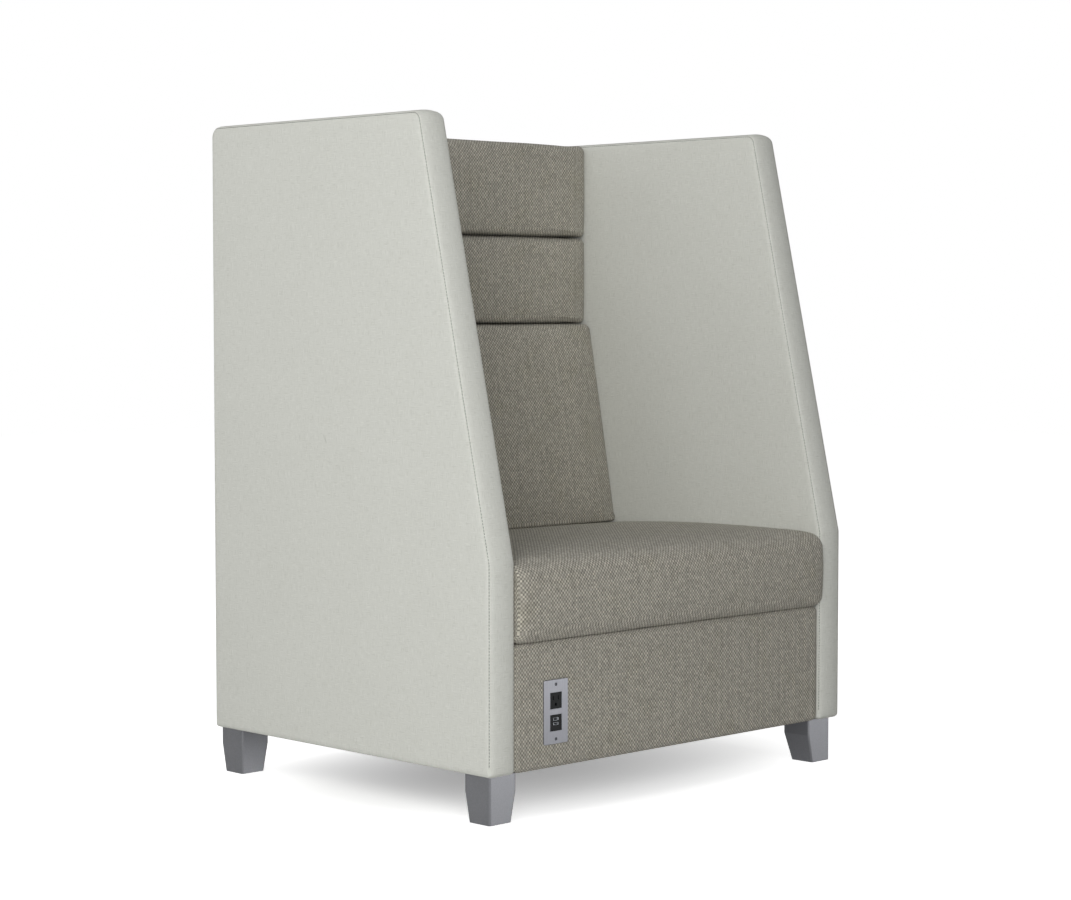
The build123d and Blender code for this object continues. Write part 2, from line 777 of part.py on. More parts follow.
with BuildPart() as threaded_inserts:
    for side in (-1, 1):
        insert_planes = [
            Plane((side * core_start, bolt_y, bolt_z), z_dir=(side, 0, 0))
            for bolt_y, bolt_z, _ in panel_bolt_places
        ] + [Plane((side * core_middle, stud_y, stack_foot), z_dir=(0, 0, 1)) for stud_y in stud_rows]
        for insert_plane in insert_planes:
            with Locations(insert_plane):
                Cylinder(insert_radius, insert_length, align=upwards)
                Cylinder(bolt_radius + thread_gap, insert_length, align=upwards, mode=Mode.SUBTRACT)
save(threaded_inserts, "threaded_inserts")


# ---- Legs and glides -------------------------------------------------------------------
leg_shoulder = leg_height - leg_straight
leg_taper = leg_width - leg_foot_width


def leg_form(side, leg_y, wall, z_range):
    """A leg's tapered form: upright outer and front faces, sloped inner and back faces.

    All four faces are drawn in by wall, and the form is cut off at the two heights.
    """
    outer = leg_outer_x - wall
    inner_top = leg_outer_x - leg_width + wall
    front = leg_y + wall
    back_top = leg_y + leg_width - wall
    with BuildPart() as form:
        with BuildSketch(Plane.XZ.offset(-leg_y)):
            with BuildLine():
                Polyline(
                    (side * outer, 0),
                    (side * outer, leg_height),
                    (side * inner_top, leg_height),
                    (side * inner_top, leg_shoulder),
                    (side * (inner_top + leg_taper), 0),
                    close=True,
                )
            make_face()
        extrude(amount=-leg_width)
        with BuildSketch(Plane.YZ.offset(side * leg_outer_x)):
            with BuildLine():
                Polyline(
                    (front, 0),
                    (front, leg_height),
                    (back_top, leg_height),
                    (back_top, leg_shoulder),
                    (back_top - leg_taper, 0),
                    close=True,
                )
            make_face()
        extrude(amount=-side * leg_width, mode=Mode.INTERSECT)
        if wall == 0:
            fillet(form.edges().filter_by(lambda e: abs((e % 0.5).Z) > 0.5), leg_edge_radius)
        add(
            block(
                mirrored((leg_outer_x - leg_width, leg_outer_x), side),
                (leg_y, leg_y + leg_width),
                z_range,
            ),
            mode=Mode.INTERSECT,
        )
    return form.part


foot_plate_z = glide_thickness
nut_z = foot_plate_z + leg_foot_plate
glide_step = leg_foot_width / 2

for leg_name, (side, leg_y) in leg_places.items():
    glide_x = side * (leg_outer_x - glide_step)
    glide_y = leg_y + glide_step
    with BuildPart() as leg:
        add(leg_form(side, leg_y, 0, (glide_proud, leg_height)))
        add(leg_form(side, leg_y, leg_wall, (glide_proud, foot_plate_z)), mode=Mode.SUBTRACT)
        add(leg_form(side, leg_y, leg_wall, (nut_z, leg_height - leg_top_plate)), mode=Mode.SUBTRACT)
        with Locations((glide_x, glide_y, foot_plate_z)):
            Cylinder(glide_stem_radius + bolt_clearance, 3 * leg_foot_plate, mode=Mode.SUBTRACT)
        for step in stud_steps:
            with Locations((side * core_middle, leg_y + step, leg_height - leg_top_plate / 2)):
                Cylinder(bolt_radius, 2 * leg_top_plate, mode=Mode.SUBTRACT)
    save(leg, f"{leg_name}_leg")

    with BuildPart() as glide_pad:
        with Locations((glide_x, glide_y, 0)):
            Cylinder(glide_radius, glide_thickness, align=upwards)
        fillet(glide_pad.faces().sort_by(Axis.Z)[0].edges(), glide_edge_radius)
    save(glide_pad, f"{leg_name}_glide_pad")

    with BuildPart() as glide_stem:
        with Locations((glide_x, glide_y, glide_thickness)):
            Cylinder(glide_stem_radius, glide_stem_length, align=upwards)
        chamfer(glide_stem.faces().sort_by(Axis.Z)[-1].edges(), glide_stem_chamfer)
    save(glide_stem, f"{leg_name}_glide_stem")

with BuildPart() as leg_studs:
    for side, leg_y in leg_places.values():
        for step in stud_steps:
            with Locations((side * core_middle, leg_y + step, leg_height - leg_top_plate)):
                Cylinder(bolt_radius, leg_stud_length, align=upwards)
save(leg_studs, "leg_studs")

with BuildPart() as glide_nuts:
    for side, leg_y in leg_places.values():
        nut_place = (side * (leg_outer_x - glide_step), leg_y + glide_step)
        with BuildSketch(Plane.XY.offset(nut_z)):
            with Locations(nut_place):
                RegularPolygon(glide_nut_flats / 2, 6, major_radius=False)
                Circle(glide_stem_radius + glide_running_gap, mode=Mode.SUBTRACT)
        extrude(amount=glide_nut_height)
save(glide_nuts, "glide_nuts")


# ---- Power unit ------------------------------------------------------------------------
plate_front = rail_front - plate_thickness
plate_plane = Plane((power_x, plate_front, power_height), x_dir=(1, 0, 0), z_dir=(0, -1, 0))

with BuildPart() as power_faceplate:
    with BuildSketch(plate_plane):
        RectangleRounded(plate_width, plate_height, plate_corner_radius)
        with Locations((0, module_pitch / 2), (0, -module_pitch / 2)):
            Rectangle(module_width, module_height, mode=Mode.SUBTRACT)
    extrude(amount=-plate_thickness)
    chamfer(power_faceplate.faces().sort_by(Axis.Y)[0].outer_wire().edges(), plate_edge_chamfer)
    with Locations(plate_plane):
        with Locations((0, plate_screw_span / 2), (0, -plate_screw_span / 2)):
            CounterSinkHole(
                plate_screw_radius + thread_gap,
                plate_screw_head_radius + thread_gap,
                depth=plate_thickness,
            )
save(power_faceplate, "power_faceplate")

with BuildPart() as faceplate_screws:
    with Locations(plate_plane):
        with Locations((0, plate_screw_span / 2), (0, -plate_screw_span / 2)):
            Cylinder(plate_screw_radius, plate_screw_length, align=downwards)
            Cone(
                plate_screw_radius,
                plate_screw_head_radius,
                plate_screw_head_radius - plate_screw_radius,
                align=downwards,
            )
            for turn in (0, 90):
                with Locations(Rotation(0, 0, turn)):
                    Box(screw_cross_length, screw_cross_width, 2 * screw_cross_depth, mode=Mode.SUBTRACT)
save(faceplate_screws, "faceplate_screws")


def module_body(height):
    """A power module: a face that fills the plate's cut-out, and a wider body behind it."""
    face_x = module_width / 2 - module_gap
    face_z = module_height / 2 - module_gap
    with BuildPart() as body:
        add(
            block(
                (power_x - face_x, power_x + face_x),
                (plate_front + module_recess, rail_front),
                (height - face_z, height + face_z),
            )
        )
        add(
            block(
                (power_x - face_x - module_flange, power_x + face_x + module_flange),
                (rail_front, rail_front + module_body_depth),
                (height - face_z - module_flange, height + face_z + module_flange),
            )
        )
    return body.part


receptacle_face = Plane(
    (power_x, plate_front + module_recess, module_heights[0]), x_dir=(1, 0, 0), z_dir=(0, -1, 0)
)
with BuildPart() as power_receptacle:
    add(module_body(module_heights[0]))
    with BuildSketch(receptacle_face):
        with Locations((0, ground_hole_drop / 2 - ground_hole_radius / 2)):
            with GridLocations(blade_slot_spacing, 0, 2, 1):
                Rectangle(blade_slot_width, blade_slot_height)
        with Locations((0, -ground_hole_drop / 2 - ground_hole_radius / 2)):
            SlotCenterToCenter(ground_hole_radius / 2, 2 * ground_hole_radius, rotation=90)
    extrude(amount=-slot_depth, mode=Mode.SUBTRACT)
save(power_receptacle, "power_receptacle")

usb_face = Plane(
    (power_x, plate_front + module_recess, module_heights[1]), x_dir=(1, 0, 0), z_dir=(0, -1, 0)
)
usb_rows = [(0, usb_port_rise + usb_port_pitch / 2), (0, usb_port_rise - usb_port_pitch / 2)]
with BuildPart() as usb_module:
    add(module_body(module_heights[1]))
    with BuildSketch(usb_face):
        with Locations(*usb_rows):
            Rectangle(usb_port_width, usb_port_height)
    extrude(amount=-usb_port_depth, mode=Mode.SUBTRACT)
    with BuildSketch(usb_face.offset(-usb_port_depth)):
        with Locations(*usb_rows):
            with Locations((0, usb_port_height / 2 - usb_tongue_height)):
                Rectangle(usb_tongue_width, usb_tongue_height)
    extrude(amount=usb_port_depth - usb_tongue_setback)
save(usb_module, "usb_module")

power_box_rear = power_box_front + power_box_depth
half_box_width = power_box_width / 2
half_box_height = power_box_height / 2
with BuildPart() as power_box:
    add(
        block(
            (power_x - half_box_width, power_x + half_box_width),
            (power_box_front, power_box_rear),
            (power_height - half_box_height, power_height + half_box_height),
        )
    )
    add(
        block(
            (power_x - half_box_width + power_box_wall, power_x + half_box_width - power_box_wall),
            (power_box_front, power_box_rear - power_box_wall),
            (
                power_height - half_box_height + power_box_wall,
                power_height + half_box_height - power_box_wall,
            ),
        ),
        mode=Mode.SUBTRACT,
    )
    for end in (-1, 1):
        tab_outer = end * (half_box_height - power_box_wall)
        tab_inner = end * (half_box_height - power_box_wall - power_box_tab)
        add(
            block(
                (power_x - power_box_tab, power_x + power_box_tab),
                (power_box_front, power_box_front + power_box_wall),
                sorted((power_height + tab_outer, power_height + tab_inner)),
            )
        )
    for screw_z in plate_screw_heights:
        with Locations(Plane((power_x, power_box_front, screw_z), z_dir=(0, 1, 0))):
            Cylinder(plate_screw_radius + thread_gap, 4 * power_box_wall, mode=Mode.SUBTRACT)
    with Locations(Plane((power_x, power_box_rear, power_height), z_dir=(0, 1, 0))):
        Cylinder(bushing_radius, 4 * power_box_wall, mode=Mode.SUBTRACT)
save(power_box, "power_box")

with BuildPart() as cable_bushing:
    with Locations(Plane((power_x, power_box_rear - power_box_wall, power_height), z_dir=(0, 1, 0))):
        Cylinder(bushing_radius - thread_gap, power_box_wall, align=upwards)
        Cylinder(bushing_flange, bushing_flange_thickness, align=downwards)
        with Locations((0, 0, power_box_wall)):
            Cylinder(bushing_flange, bushing_flange_thickness, align=upwards)
        Cylinder(bushing_bore, 6 * bushing_flange_thickness, mode=Mode.SUBTRACT)
save(cable_bushing, "cable_bushing")
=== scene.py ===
"""Looks of a high-back acoustic lounge chair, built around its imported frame.

Metres, in the frame's own axes: the origin is on the floor, +Z is up and the chair faces -Y.
Left is -X, as seen by somebody who looks at the chair's front.
"""
import logging
import math
from collections.abc import Callable, Sequence
from dataclasses import dataclass
from enum import Enum

import bmesh
import bpy
import numpy as np
from mathutils import Euler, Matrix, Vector


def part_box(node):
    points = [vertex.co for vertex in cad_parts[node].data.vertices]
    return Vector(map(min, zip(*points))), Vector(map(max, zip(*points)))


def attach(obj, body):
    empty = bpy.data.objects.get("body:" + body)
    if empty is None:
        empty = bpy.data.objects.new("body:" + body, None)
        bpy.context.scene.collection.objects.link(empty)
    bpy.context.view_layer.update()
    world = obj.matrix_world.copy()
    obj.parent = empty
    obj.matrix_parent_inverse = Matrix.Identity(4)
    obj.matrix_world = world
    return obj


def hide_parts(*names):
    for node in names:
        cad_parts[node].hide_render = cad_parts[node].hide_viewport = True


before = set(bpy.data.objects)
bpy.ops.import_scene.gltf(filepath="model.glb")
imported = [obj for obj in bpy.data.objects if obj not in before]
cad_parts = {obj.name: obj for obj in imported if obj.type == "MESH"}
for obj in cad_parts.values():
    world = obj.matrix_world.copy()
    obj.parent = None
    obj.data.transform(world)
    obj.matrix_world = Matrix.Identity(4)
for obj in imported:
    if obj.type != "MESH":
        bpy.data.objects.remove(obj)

log = logging.getLogger("lounge_chair")

BODY = "chair"
CLOTH_MAP = "cloth"
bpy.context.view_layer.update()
NOISE_SPAN = (0.3, 0.7)  # most of a noise's values lie between these

Socket = bpy.types.NodeSocket
Tree = bpy.types.NodeTree
Colour = tuple[float, float, float, float]
Unroll = Callable[[np.ndarray, np.ndarray], tuple[np.ndarray, np.ndarray]]


class Side(Enum):
    """A side of the chair, with the sign of its X."""

    LEFT = -1
    RIGHT = 1

    @property
    def word(self) -> str:
        """The side's name, as it stands in node names."""
        return self.name.lower()


# ---- Colours and nodes -----------------------------------------------------------------
def linear(code: str) -> Colour:
    """Turns an sRGB hex colour to linear RGBA.

    Args:
        code: six hex digits, with or without a leading #.

    Returns:
        Linear red, green and blue, and an alpha of 1.
    """
    digits = code.lstrip("#")
    parts = [int(digits[place : place + 2], 16) / 255 for place in (0, 2, 4)]
    red, green, blue = (c / 12.92 if c <= 0.04045 else ((c + 0.055) / 1.055) ** 2.4 for c in parts)
    return red, green, blue, 1.0


def add(
    tree: Tree, kind: str, inputs: dict[str | int, object] | None = None, **settings: object
) -> bpy.types.Node:
    """Adds a node with its settings and links.

    Args:
        tree: the tree that gets the node.
        kind: the node's type, without the leading ShaderNode.
        inputs: a value or an output socket for each input's name or number.
        settings: the node's own properties.

    Returns:
        The new node.
    """
    made = tree.nodes.new(f"ShaderNode{kind}")
    for name, value in settings.items():
        setattr(made, name, value)
    for key, value in (inputs or {}).items():
        if isinstance(value, Socket):
            tree.links.new(value, made.inputs[key])
        else:
            made.inputs[key].default_value = value
    return made


def calc(tree: Tree, operation: str, *values: float | Socket) -> Socket:
    """Adds a Math node for an operation on numbers or sockets, and returns its result."""
    return add(tree, "Math", dict(enumerate(values)), operation=operation).outputs[0]


def wave(tree: Tree, place: Socket, repeat: float) -> Socket:
    """A sine along a coordinate, with one period to each repeat."""
    return calc(tree, "SINE", calc(tree, "MULTIPLY", place, 2 * math.pi / repeat))


def blended(
    tree: Tree, factor: float | Socket, first: Colour | Socket, second: Colour | Socket, mode: str = "MIX"
) -> Socket:
    """Mixes two colours.

    Args:
        tree: the tree that gets the node.
        factor: how much of the second colour shows.
        first: a colour or a colour socket.
        second: a colour or a colour socket.
        mode: how the second is laid on the first.

    Returns:
        The mixed colour's socket.
    """
    mix = add(tree, "Mix", {0: factor, 6: first, 7: second}, data_type="RGBA", blend_type=mode)
    return mix.outputs[2]


def spread(
    tree: Tree, value: Socket, low: float, high: float, to_low: float = 0.0, to_high: float = 1.0
) -> Socket:
    """Carries the range from low to high to another range, smoothly and held at its ends."""
    inputs = {"Value": value, "From Min": low, "From Max": high, "To Min": to_low, "To Max": to_high}
    return add(tree, "MapRange", inputs, interpolation_type="SMOOTHSTEP").outputs[0]


@dataclass(frozen=True)
class Finish:
    """A finish: what a surface is made of, and how it was made.

    Each kind of finish gives its own colour, roughness and relief in its dress method.
    """

    name: str
    slot: str

    def material(self) -> bpy.types.Material:
        """Makes the finish's material at the first call, and shares it from then on.

        Returns:
            The material, named for the finish.
        """
        found = bpy.data.materials.get(self.name)
        if found is not None:
            return found
        made = bpy.data.materials.new(self.name)
        made.use_nodes = True
        tree = made.node_tree
        shader = next(n for n in tree.nodes if n.type == "BSDF_PRINCIPLED")
        self.dress(tree, shader)
        return made

    def dress(self, tree: Tree, shader: bpy.types.Node) -> None:
        """Sets the shader's sockets and adds the nodes of this finish.

        Args:
            tree: the material's tree.
            shader: its surface shader.
        """
        raise NotImplementedError


def relief(
    tree: Tree, shader: bpy.types.Node, height: Socket, depth: float, strength: float
) -> None:
    """Gives a shader a bump.

    Args:
        tree: the material's tree.
        shader: the surface shader.
        height: the height, from 0 to 1.
        depth: how deep a height of 1 is, in metres.
        strength: how strongly the bump acts.
    """
    bump = add(tree, "Bump", {"Strength": strength, "Distance": depth, "Height": height})
    tree.links.new(bump.outputs[0], shader.inputs["Normal"])


@dataclass(frozen=True)
class Cloth(Finish):
    """A woven cloth: matt, with a faint bloom at its edges and the relief of its yarns.

    Attributes:
        roughness: how dull the yarns are.
        gloss: level of the shine.
        bloom: weight of the fuzz that shows at grazing angles.
        bloom_roughness: how far the bloom spreads.
        relief_depth: depth of the weave, in metres.
        relief_strength: how strongly it acts.
    """

    roughness: float = 0.9
    gloss: float = 0.2
    bloom: float = 0.1
    bloom_roughness: float = 0.5
    relief_depth: float = 0.00025
    relief_strength: float = 0.5

    def weave(self, tree: Tree) -> tuple[Socket, Socket]:
        """Adds the weave on the cloth's own map.

        Args:
            tree: the material's tree.

        Returns:
            The cloth's colour and height.
        """
        raise NotImplementedError

    def dress(self, tree: Tree, shader: bpy.types.Node) -> None:
        """Weaves the cloth and sets its shine.

        Args:
            tree: the material's tree.
            shader: its surface shader.
        """
        colour, height = self.weave(tree)
        tree.links.new(colour, shader.inputs["Base Color"])
        shader.inputs["Roughness"].default_value = self.roughness
        shader.inputs["Specular IOR Level"].default_value = self.gloss
        shader.inputs["Sheen Weight"].default_value = self.bloom
        shader.inputs["Sheen Roughness"].default_value = self.bloom_roughness
        relief(tree, shader, height, self.relief_depth, self.relief_strength)


@dataclass(frozen=True)
class BasketCloth(Cloth):
    """Basket weave of thick cream and taupe yarns: a small check that shows from a step away.

    Pairs of cream warp yarns and pairs of taupe weft yarns pass over each other in turn, so
    that the check's cells are two yarns wide. The yarns are spun unevenly, so each cell is a
    little lighter or darker than the next.

    Attributes:
        warp_repeat: two cells across, and weft_repeat: two cells along.
        wobble: how far the yarns stray from their straight lines, over wobble_size.
        cell_edge: softness of the border between two cells.
        cell_swing: how much lighter or darker one cell may be.
        streak_swing: the same for a band of warp, streak_width wide.
        float_share: how much of a yarn's height comes from the bulge of its float.
        painted_relief_shades: painted shade in the hollows between the yarns, and painted light on the
            yarns' tops, from top_height up.
        tint_share: the most that the tint shows, in patches of tint_size.
        tint_span: where the patches' noise starts to tint, and where it does so in full.
    """

    roughness: float = 0.92
    gloss: float = 0.15
    bloom: float = 0.12
    relief_depth: float = 0.0007
    relief_strength: float = 0.8
    warp_colour: str = "#C1BDB0"
    weft_colour: str = "#8E8A81"
    tint_colour: str = "#9C9C8C"
    warp_repeat: float = 0.0075
    weft_repeat: float = 0.0080
    yarns_per_cell: int = 2
    wobble: float = 0.0011
    wobble_size: float = 0.006
    cell_edge: float = 0.12
    cell_swing: float = 0.20
    streak_width: float = 0.009
    streak_swing: float = 0.05
    float_share: float = 0.6
    painted_relief_shades: tuple[float, float] = (0.80, 1.06)
    top_height: float = 0.9
    tint_share: float = 0.22
    tint_size: float = 0.07
    tint_span: tuple[float, float] = (0.5, 0.72)

    def weave(self, tree: Tree) -> tuple[Socket, Socket]:
        """Weaves the check.

        A cell shows warp where the product of the two sines over the repeats is positive.
        Each yarn is a half round across its width, and bulges in the middle of its float
        with the root of that product. The colour follows that height: painted shade in the hollows,
        painted light on the tops.

        Args:
            tree: the material's tree.

        Returns:
            The cloth's colour and height.
        """
        flat = add(tree, "UVMap", uv_map=CLOTH_MAP).outputs[0]
        drift = add(tree, "TexNoise", {"Vector": flat, "Scale": 1 / self.wobble_size, "Detail": 1.0})
        stray = {0: drift.outputs["Color"], 1: (self.wobble, self.wobble, 0.0), 2: flat}
        place = add(tree, "VectorMath", stray, operation="MULTIPLY_ADD").outputs[0]
        across, along = add(tree, "SeparateXYZ", {0: place}).outputs[:2]
        waves = wave(tree, across, self.warp_repeat), wave(tree, along, self.weft_repeat)
        check = calc(tree, "MULTIPLY", *waves)
        warp_shows = spread(tree, check, -self.cell_edge, self.cell_edge)
        round_u, round_v = (
            calc(tree, "ABSOLUTE", wave(tree, axis, repeat / self.yarns_per_cell))
            for axis, repeat in ((across, self.warp_repeat), (along, self.weft_repeat))
        )
        profile = add(tree, "Mix", {0: warp_shows, 2: round_v, 3: round_u}).outputs[0]
        bulge = calc(tree, "POWER", calc(tree, "ABSOLUTE", check), 0.5)
        floats = calc(tree, "MULTIPLY_ADD", bulge, self.float_share, 1 - self.float_share)
        height = calc(tree, "MULTIPLY", floats, profile)

        cloth = blended(tree, warp_shows, linear(self.weft_colour), linear(self.warp_colour))
        # Painted shade in the yarns' hollows and painted light on their tops, times each cell's random
        # tone.
        painted_relief_shade = spread(tree, height, 0.0, self.top_height, *self.painted_relief_shades)
        shade = calc(tree, "MULTIPLY", painted_relief_shade, self.uneven(tree, across, along))
        grey = add(tree, "CombineColor", {0: shade, 1: shade, 2: shade}).outputs[0]
        cloth = blended(tree, 1.0, cloth, grey, "MULTIPLY")
        patch = add(tree, "TexNoise", {"Vector": flat, "Scale": 1 / self.tint_size, "Detail": 2.0})
        tint = spread(tree, patch.outputs["Fac"], *self.tint_span, 0.0, self.tint_share)
        return blended(tree, tint, cloth, linear(self.tint_colour), "SOFT_LIGHT"), height

    def uneven(self, tree: Tree, across: Socket, along: Socket) -> Socket:
        """Uneven spinning: a random shade for each cell, and one for each band of warp.

        Args:
            tree: the material's tree.
            across: place across the warp.
            along: place along the warp.

        Returns:
            A factor for the colour, about 1.
        """
        steps = [
            calc(tree, "FLOOR", calc(tree, "MULTIPLY", axis, 2 / repeat))
            for axis, repeat in ((across, self.warp_repeat), (along, self.weft_repeat))
        ]
        cell = add(tree, "CombineXYZ", dict(enumerate(steps))).outputs[0]
        by_cell = add(tree, "TexWhiteNoise", {"Vector": cell}, noise_dimensions="2D").outputs["Value"]
        band = calc(tree, "MULTIPLY", across, 1 / self.streak_width)
        by_band = add(tree, "TexNoise", {"W": band, "Scale": 1.0}, noise_dimensions="1D").outputs["Fac"]
        cell_shade = calc(tree, "MULTIPLY_ADD", by_cell, 2 * self.cell_swing, 1 - self.cell_swing)
        band_shade = spread(tree, by_band, *NOISE_SPAN, 1 - self.streak_swing, 1 + self.streak_swing)
        return calc(tree, "MULTIPLY", cell_shade, band_shade)


@dataclass(frozen=True)
class PlainCloth(Cloth):
    """Tightly woven panel cloth in a light warm grey: flat and matt, with faint linen flecks.

    Attributes:
        thread: repeat of the threads.
        slub: length and width of a thick place in the yarn.
        slub_span: where the slubs' noise starts to show, and where it does so in full.
        light_offset: how far the light slubs' noise lies from the dark ones'.
        clouds_per_metre: how close together the cloudy patches are.
        cloud_share: how much of the dark colour the cloudy patches take.
        dark_share: how much of it the dark slubs take.
        weave_share: how much of it the threads take.
        light_share: how much of the light colour the light slubs take.
    """

    colour: str = "#D6D7D0"
    dark_colour: str = "#BDBEB5"
    light_colour: str = "#E6E7E1"
    thread: float = 0.0011  # drawn coarser than the real half millimetre, so that it shows
    slub: tuple[float, float] = (0.018, 0.0017)
    slub_span: tuple[float, float] = (0.58, 0.72)
    light_offset: float = 37.0
    clouds_per_metre: float = 6.0
    cloud_share: float = 0.16
    dark_share: float = 0.38
    weave_share: float = 0.10
    light_share: float = 0.38

    def slubs(self, tree: Tree, place: Socket, offset: float) -> Socket:
        """Thick places in the yarn: a noise drawn out along each thread direction in turn.

        Args:
            tree: the material's tree.
            place: the place on the cloth.
            offset: moves the noise, so that two sets differ.

        Returns:
            The slubs' height, from 0 to 1.
        """
        found = []
        for wide, high in (self.slub, self.slub[::-1]):
            stretch = (1 / wide, 1 / high, 1.0)
            inputs = {"Vector": place, "Scale": stretch, "Location": (offset, offset, 0.0)}
            grain = add(tree, "Mapping", inputs).outputs[0]
            noise = add(tree, "TexNoise", {"Vector": grain, "Scale": 1.0, "Detail": 1.0})
            found.append(spread(tree, noise.outputs["Fac"], *self.slub_span))
        return calc(tree, "MAXIMUM", *found)

    def weave(self, tree: Tree) -> tuple[Socket, Socket]:
        """Weaves even threads, the product of a sine each way, with light and dark slubs.

        Args:
            tree: the material's tree.

        Returns:
            The cloth's colour and height.
        """
        place = add(tree, "UVMap", uv_map=CLOTH_MAP).outputs[0]
        axes = add(tree, "SeparateXYZ", {0: place}).outputs[:2]
        dark, light = (self.slubs(tree, place, offset) for offset in (0.0, self.light_offset))
        threads = calc(tree, "MULTIPLY", *(wave(tree, axis, self.thread) for axis in axes))
        threads = calc(tree, "MULTIPLY_ADD", threads, 0.5, 0.5)
        clouds = {"Vector": place, "Scale": self.clouds_per_metre, "Detail": 2.0}
        clouds = add(tree, "TexNoise", clouds).outputs["Fac"]
        amount = calc(tree, "MULTIPLY", clouds, self.cloud_share)
        amount = calc(tree, "MULTIPLY_ADD", dark, self.dark_share, amount)
        amount = calc(tree, "MULTIPLY_ADD", threads, self.weave_share, amount)
        cloth = blended(tree, amount, linear(self.colour), linear(self.dark_colour))
        lit = calc(tree, "MULTIPLY", light, self.light_share)
        height = calc(tree, "MULTIPLY", calc(tree, "ADD", threads, light), 0.5)
        return blended(tree, lit, cloth, linear(self.light_colour)), height


@dataclass(frozen=True)
class Grained(Finish):
    """A solid stuff with a grain: a base colour clouded by a noise, and a fine relief.

    Attributes:
        colours: the base, and the grain.
        grain_mm: size of the grain along X, Y and Z, in millimetres.
        grain_share: the most that the grain's colour shows.
        roughness: in the middle, and rough_swing: how far it goes up and down.
        gloss: level of the shine.
        depth_mm: depth of the relief, in millimetres.
        relief_strength: how strongly it acts.
    """

    colours: tuple[str, str]
    grain_mm: tuple[float, float, float]
    grain_share: float
    roughness: float
    depth_mm: float = 0.1
    metallic: float = 0.0
    rough_swing: float = 0.08
    gloss: float = 0.5
    relief_strength: float = 0.6

    def dress(self, tree: Tree, shader: bpy.types.Node) -> None:
        """Draws the grain as a noise on the piece's own place, stretched to the grain's size.

        Args:
            tree: the material's tree.
            shader: its surface shader.
        """
        place = add(tree, "TexCoord").outputs["Object"]
        scale = tuple(1000 / size for size in self.grain_mm)
        grain = add(tree, "Mapping", {"Vector": place, "Scale": scale}).outputs[0]
        noise = add(tree, "TexNoise", {"Vector": grain, "Scale": 1.0, "Detail": 4.0}).outputs["Fac"]
        amount = spread(tree, noise, *NOISE_SPAN, 0.0, self.grain_share)
        rough_range = self.roughness - self.rough_swing, self.roughness + self.rough_swing
        tree.links.new(blended(tree, amount, *map(linear, self.colours)), shader.inputs["Base Color"])
        tree.links.new(spread(tree, noise, *NOISE_SPAN, *rough_range), shader.inputs["Roughness"])
        shader.inputs["Metallic"].default_value = self.metallic
        shader.inputs["Specular IOR Level"].default_value = self.gloss
        relief(tree, shader, noise, self.depth_mm / 1000, self.relief_strength)


# Basket cloth: a check that reads as a warm taupe from afar.
BASKET_CLOTH = BasketCloth("woven_basket_cloth", "seat_cloth")
# Panel cloth: pale, even and matt.
PANEL_CLOTH = PlainCloth("woven_panel_cloth", "panel_cloth")
# Bonded polyester thread, darker than the cloth that it holds: its own tone, deepened with painted shade
# of the seam's groove.
THREAD_WITH_PAINTED_SEAM_SHADE = Grained(
    "bonded_polyester_thread", "panel_cloth", ("#6E706B", "#80827C"), (0.6, 0.6, 0.6), 0.6,
    roughness=0.6,
)
# Powder coated steel: an even silver grey with a fine orange peel.
POWDER_COAT = Grained(
    "powder_coated_steel", "leg_metal", ("#85868A", "#7C7D81"), (2.5, 2.5, 2.5), 0.5,
    roughness=0.36, rough_swing=0.05, depth_mm=0.08, metallic=0.88,
)
# Satin anodised aluminium: fine upright brush lines under a soft sheen.
ANODISED = Grained(
    "satin_anodised_aluminium", "plate_aluminium", ("#7D7E83", "#727378"), (0.4, 0.4, 30.0), 0.6,
    roughness=0.34, rough_swing=0.06, depth_mm=0.02, metallic=0.9,
)
# Moulded polycarbonate, spark eroded: near black with a fine grain.
MOULDED_PLASTIC = Grained(
    "moulded_polycarbonate", "black_plastic", ("#141617", "#1B1D1E"), (0.8, 0.8, 0.8), 0.6,
    roughness=0.5, depth_mm=0.04, gloss=0.12,
)
# Birch plywood: pale yellow brown with a drawn out grain.
PLYWOOD = Grained(
    "birch_plywood", "plywood", ("#CBAE83", "#A98658"), (4.0, 90.0, 1.5), 0.7,
    roughness=0.7, depth_mm=0.2,
)
# Open cell polyurethane foam: pale cream, pitted.
FOAM = Grained(
    "polyurethane_foam", "foam", ("#E6DCB9", "#CFC290"), (3.0, 3.0, 3.0), 0.8,
    roughness=0.95, depth_mm=0.8,
)
# Pressed polyester felt: speckled grey.
FELT = Grained(
    "pressed_polyester_felt", "felt", ("#8B8C8E", "#6D6E70"), (6.0, 1.5, 1.5), 0.8,
    roughness=0.97, depth_mm=0.6,
)
# Zinc plated steel: bright and slightly blue.
ZINC_STEEL = Grained(
    "zinc_plated_steel", "zinc_steel", ("#B4B8BD", "#9DA2A9"), (3.0, 3.0, 3.0), 0.6,
    roughness=0.34, depth_mm=0.03, metallic=1.0,
)
# Tempered spring wire: dark and oily.
SPRING_STEEL = Grained(
    "tempered_spring_wire", "spring_steel", ("#5F6165", "#4A4B4E"), (2.0, 10.0, 2.0), 0.7,
    roughness=0.38, depth_mm=0.03, metallic=1.0,
)
# Black oxide screws: dull, nearly black steel.
BLACK_OXIDE = Grained(
    "black_oxide_steel", "zinc_steel", ("#4B4C50", "#3A3B3E"), (0.8, 0.8, 0.8), 0.6,
    roughness=0.45, depth_mm=0.03, metallic=0.9,
)
# Moulded nylon: dark grey and waxy.
NYLON = Grained(
    "moulded_nylon", "glide_nylon", ("#2B2B2C", "#353536"), (1.2, 1.2, 1.2), 0.5,
    roughness=0.55, depth_mm=0.05,
)
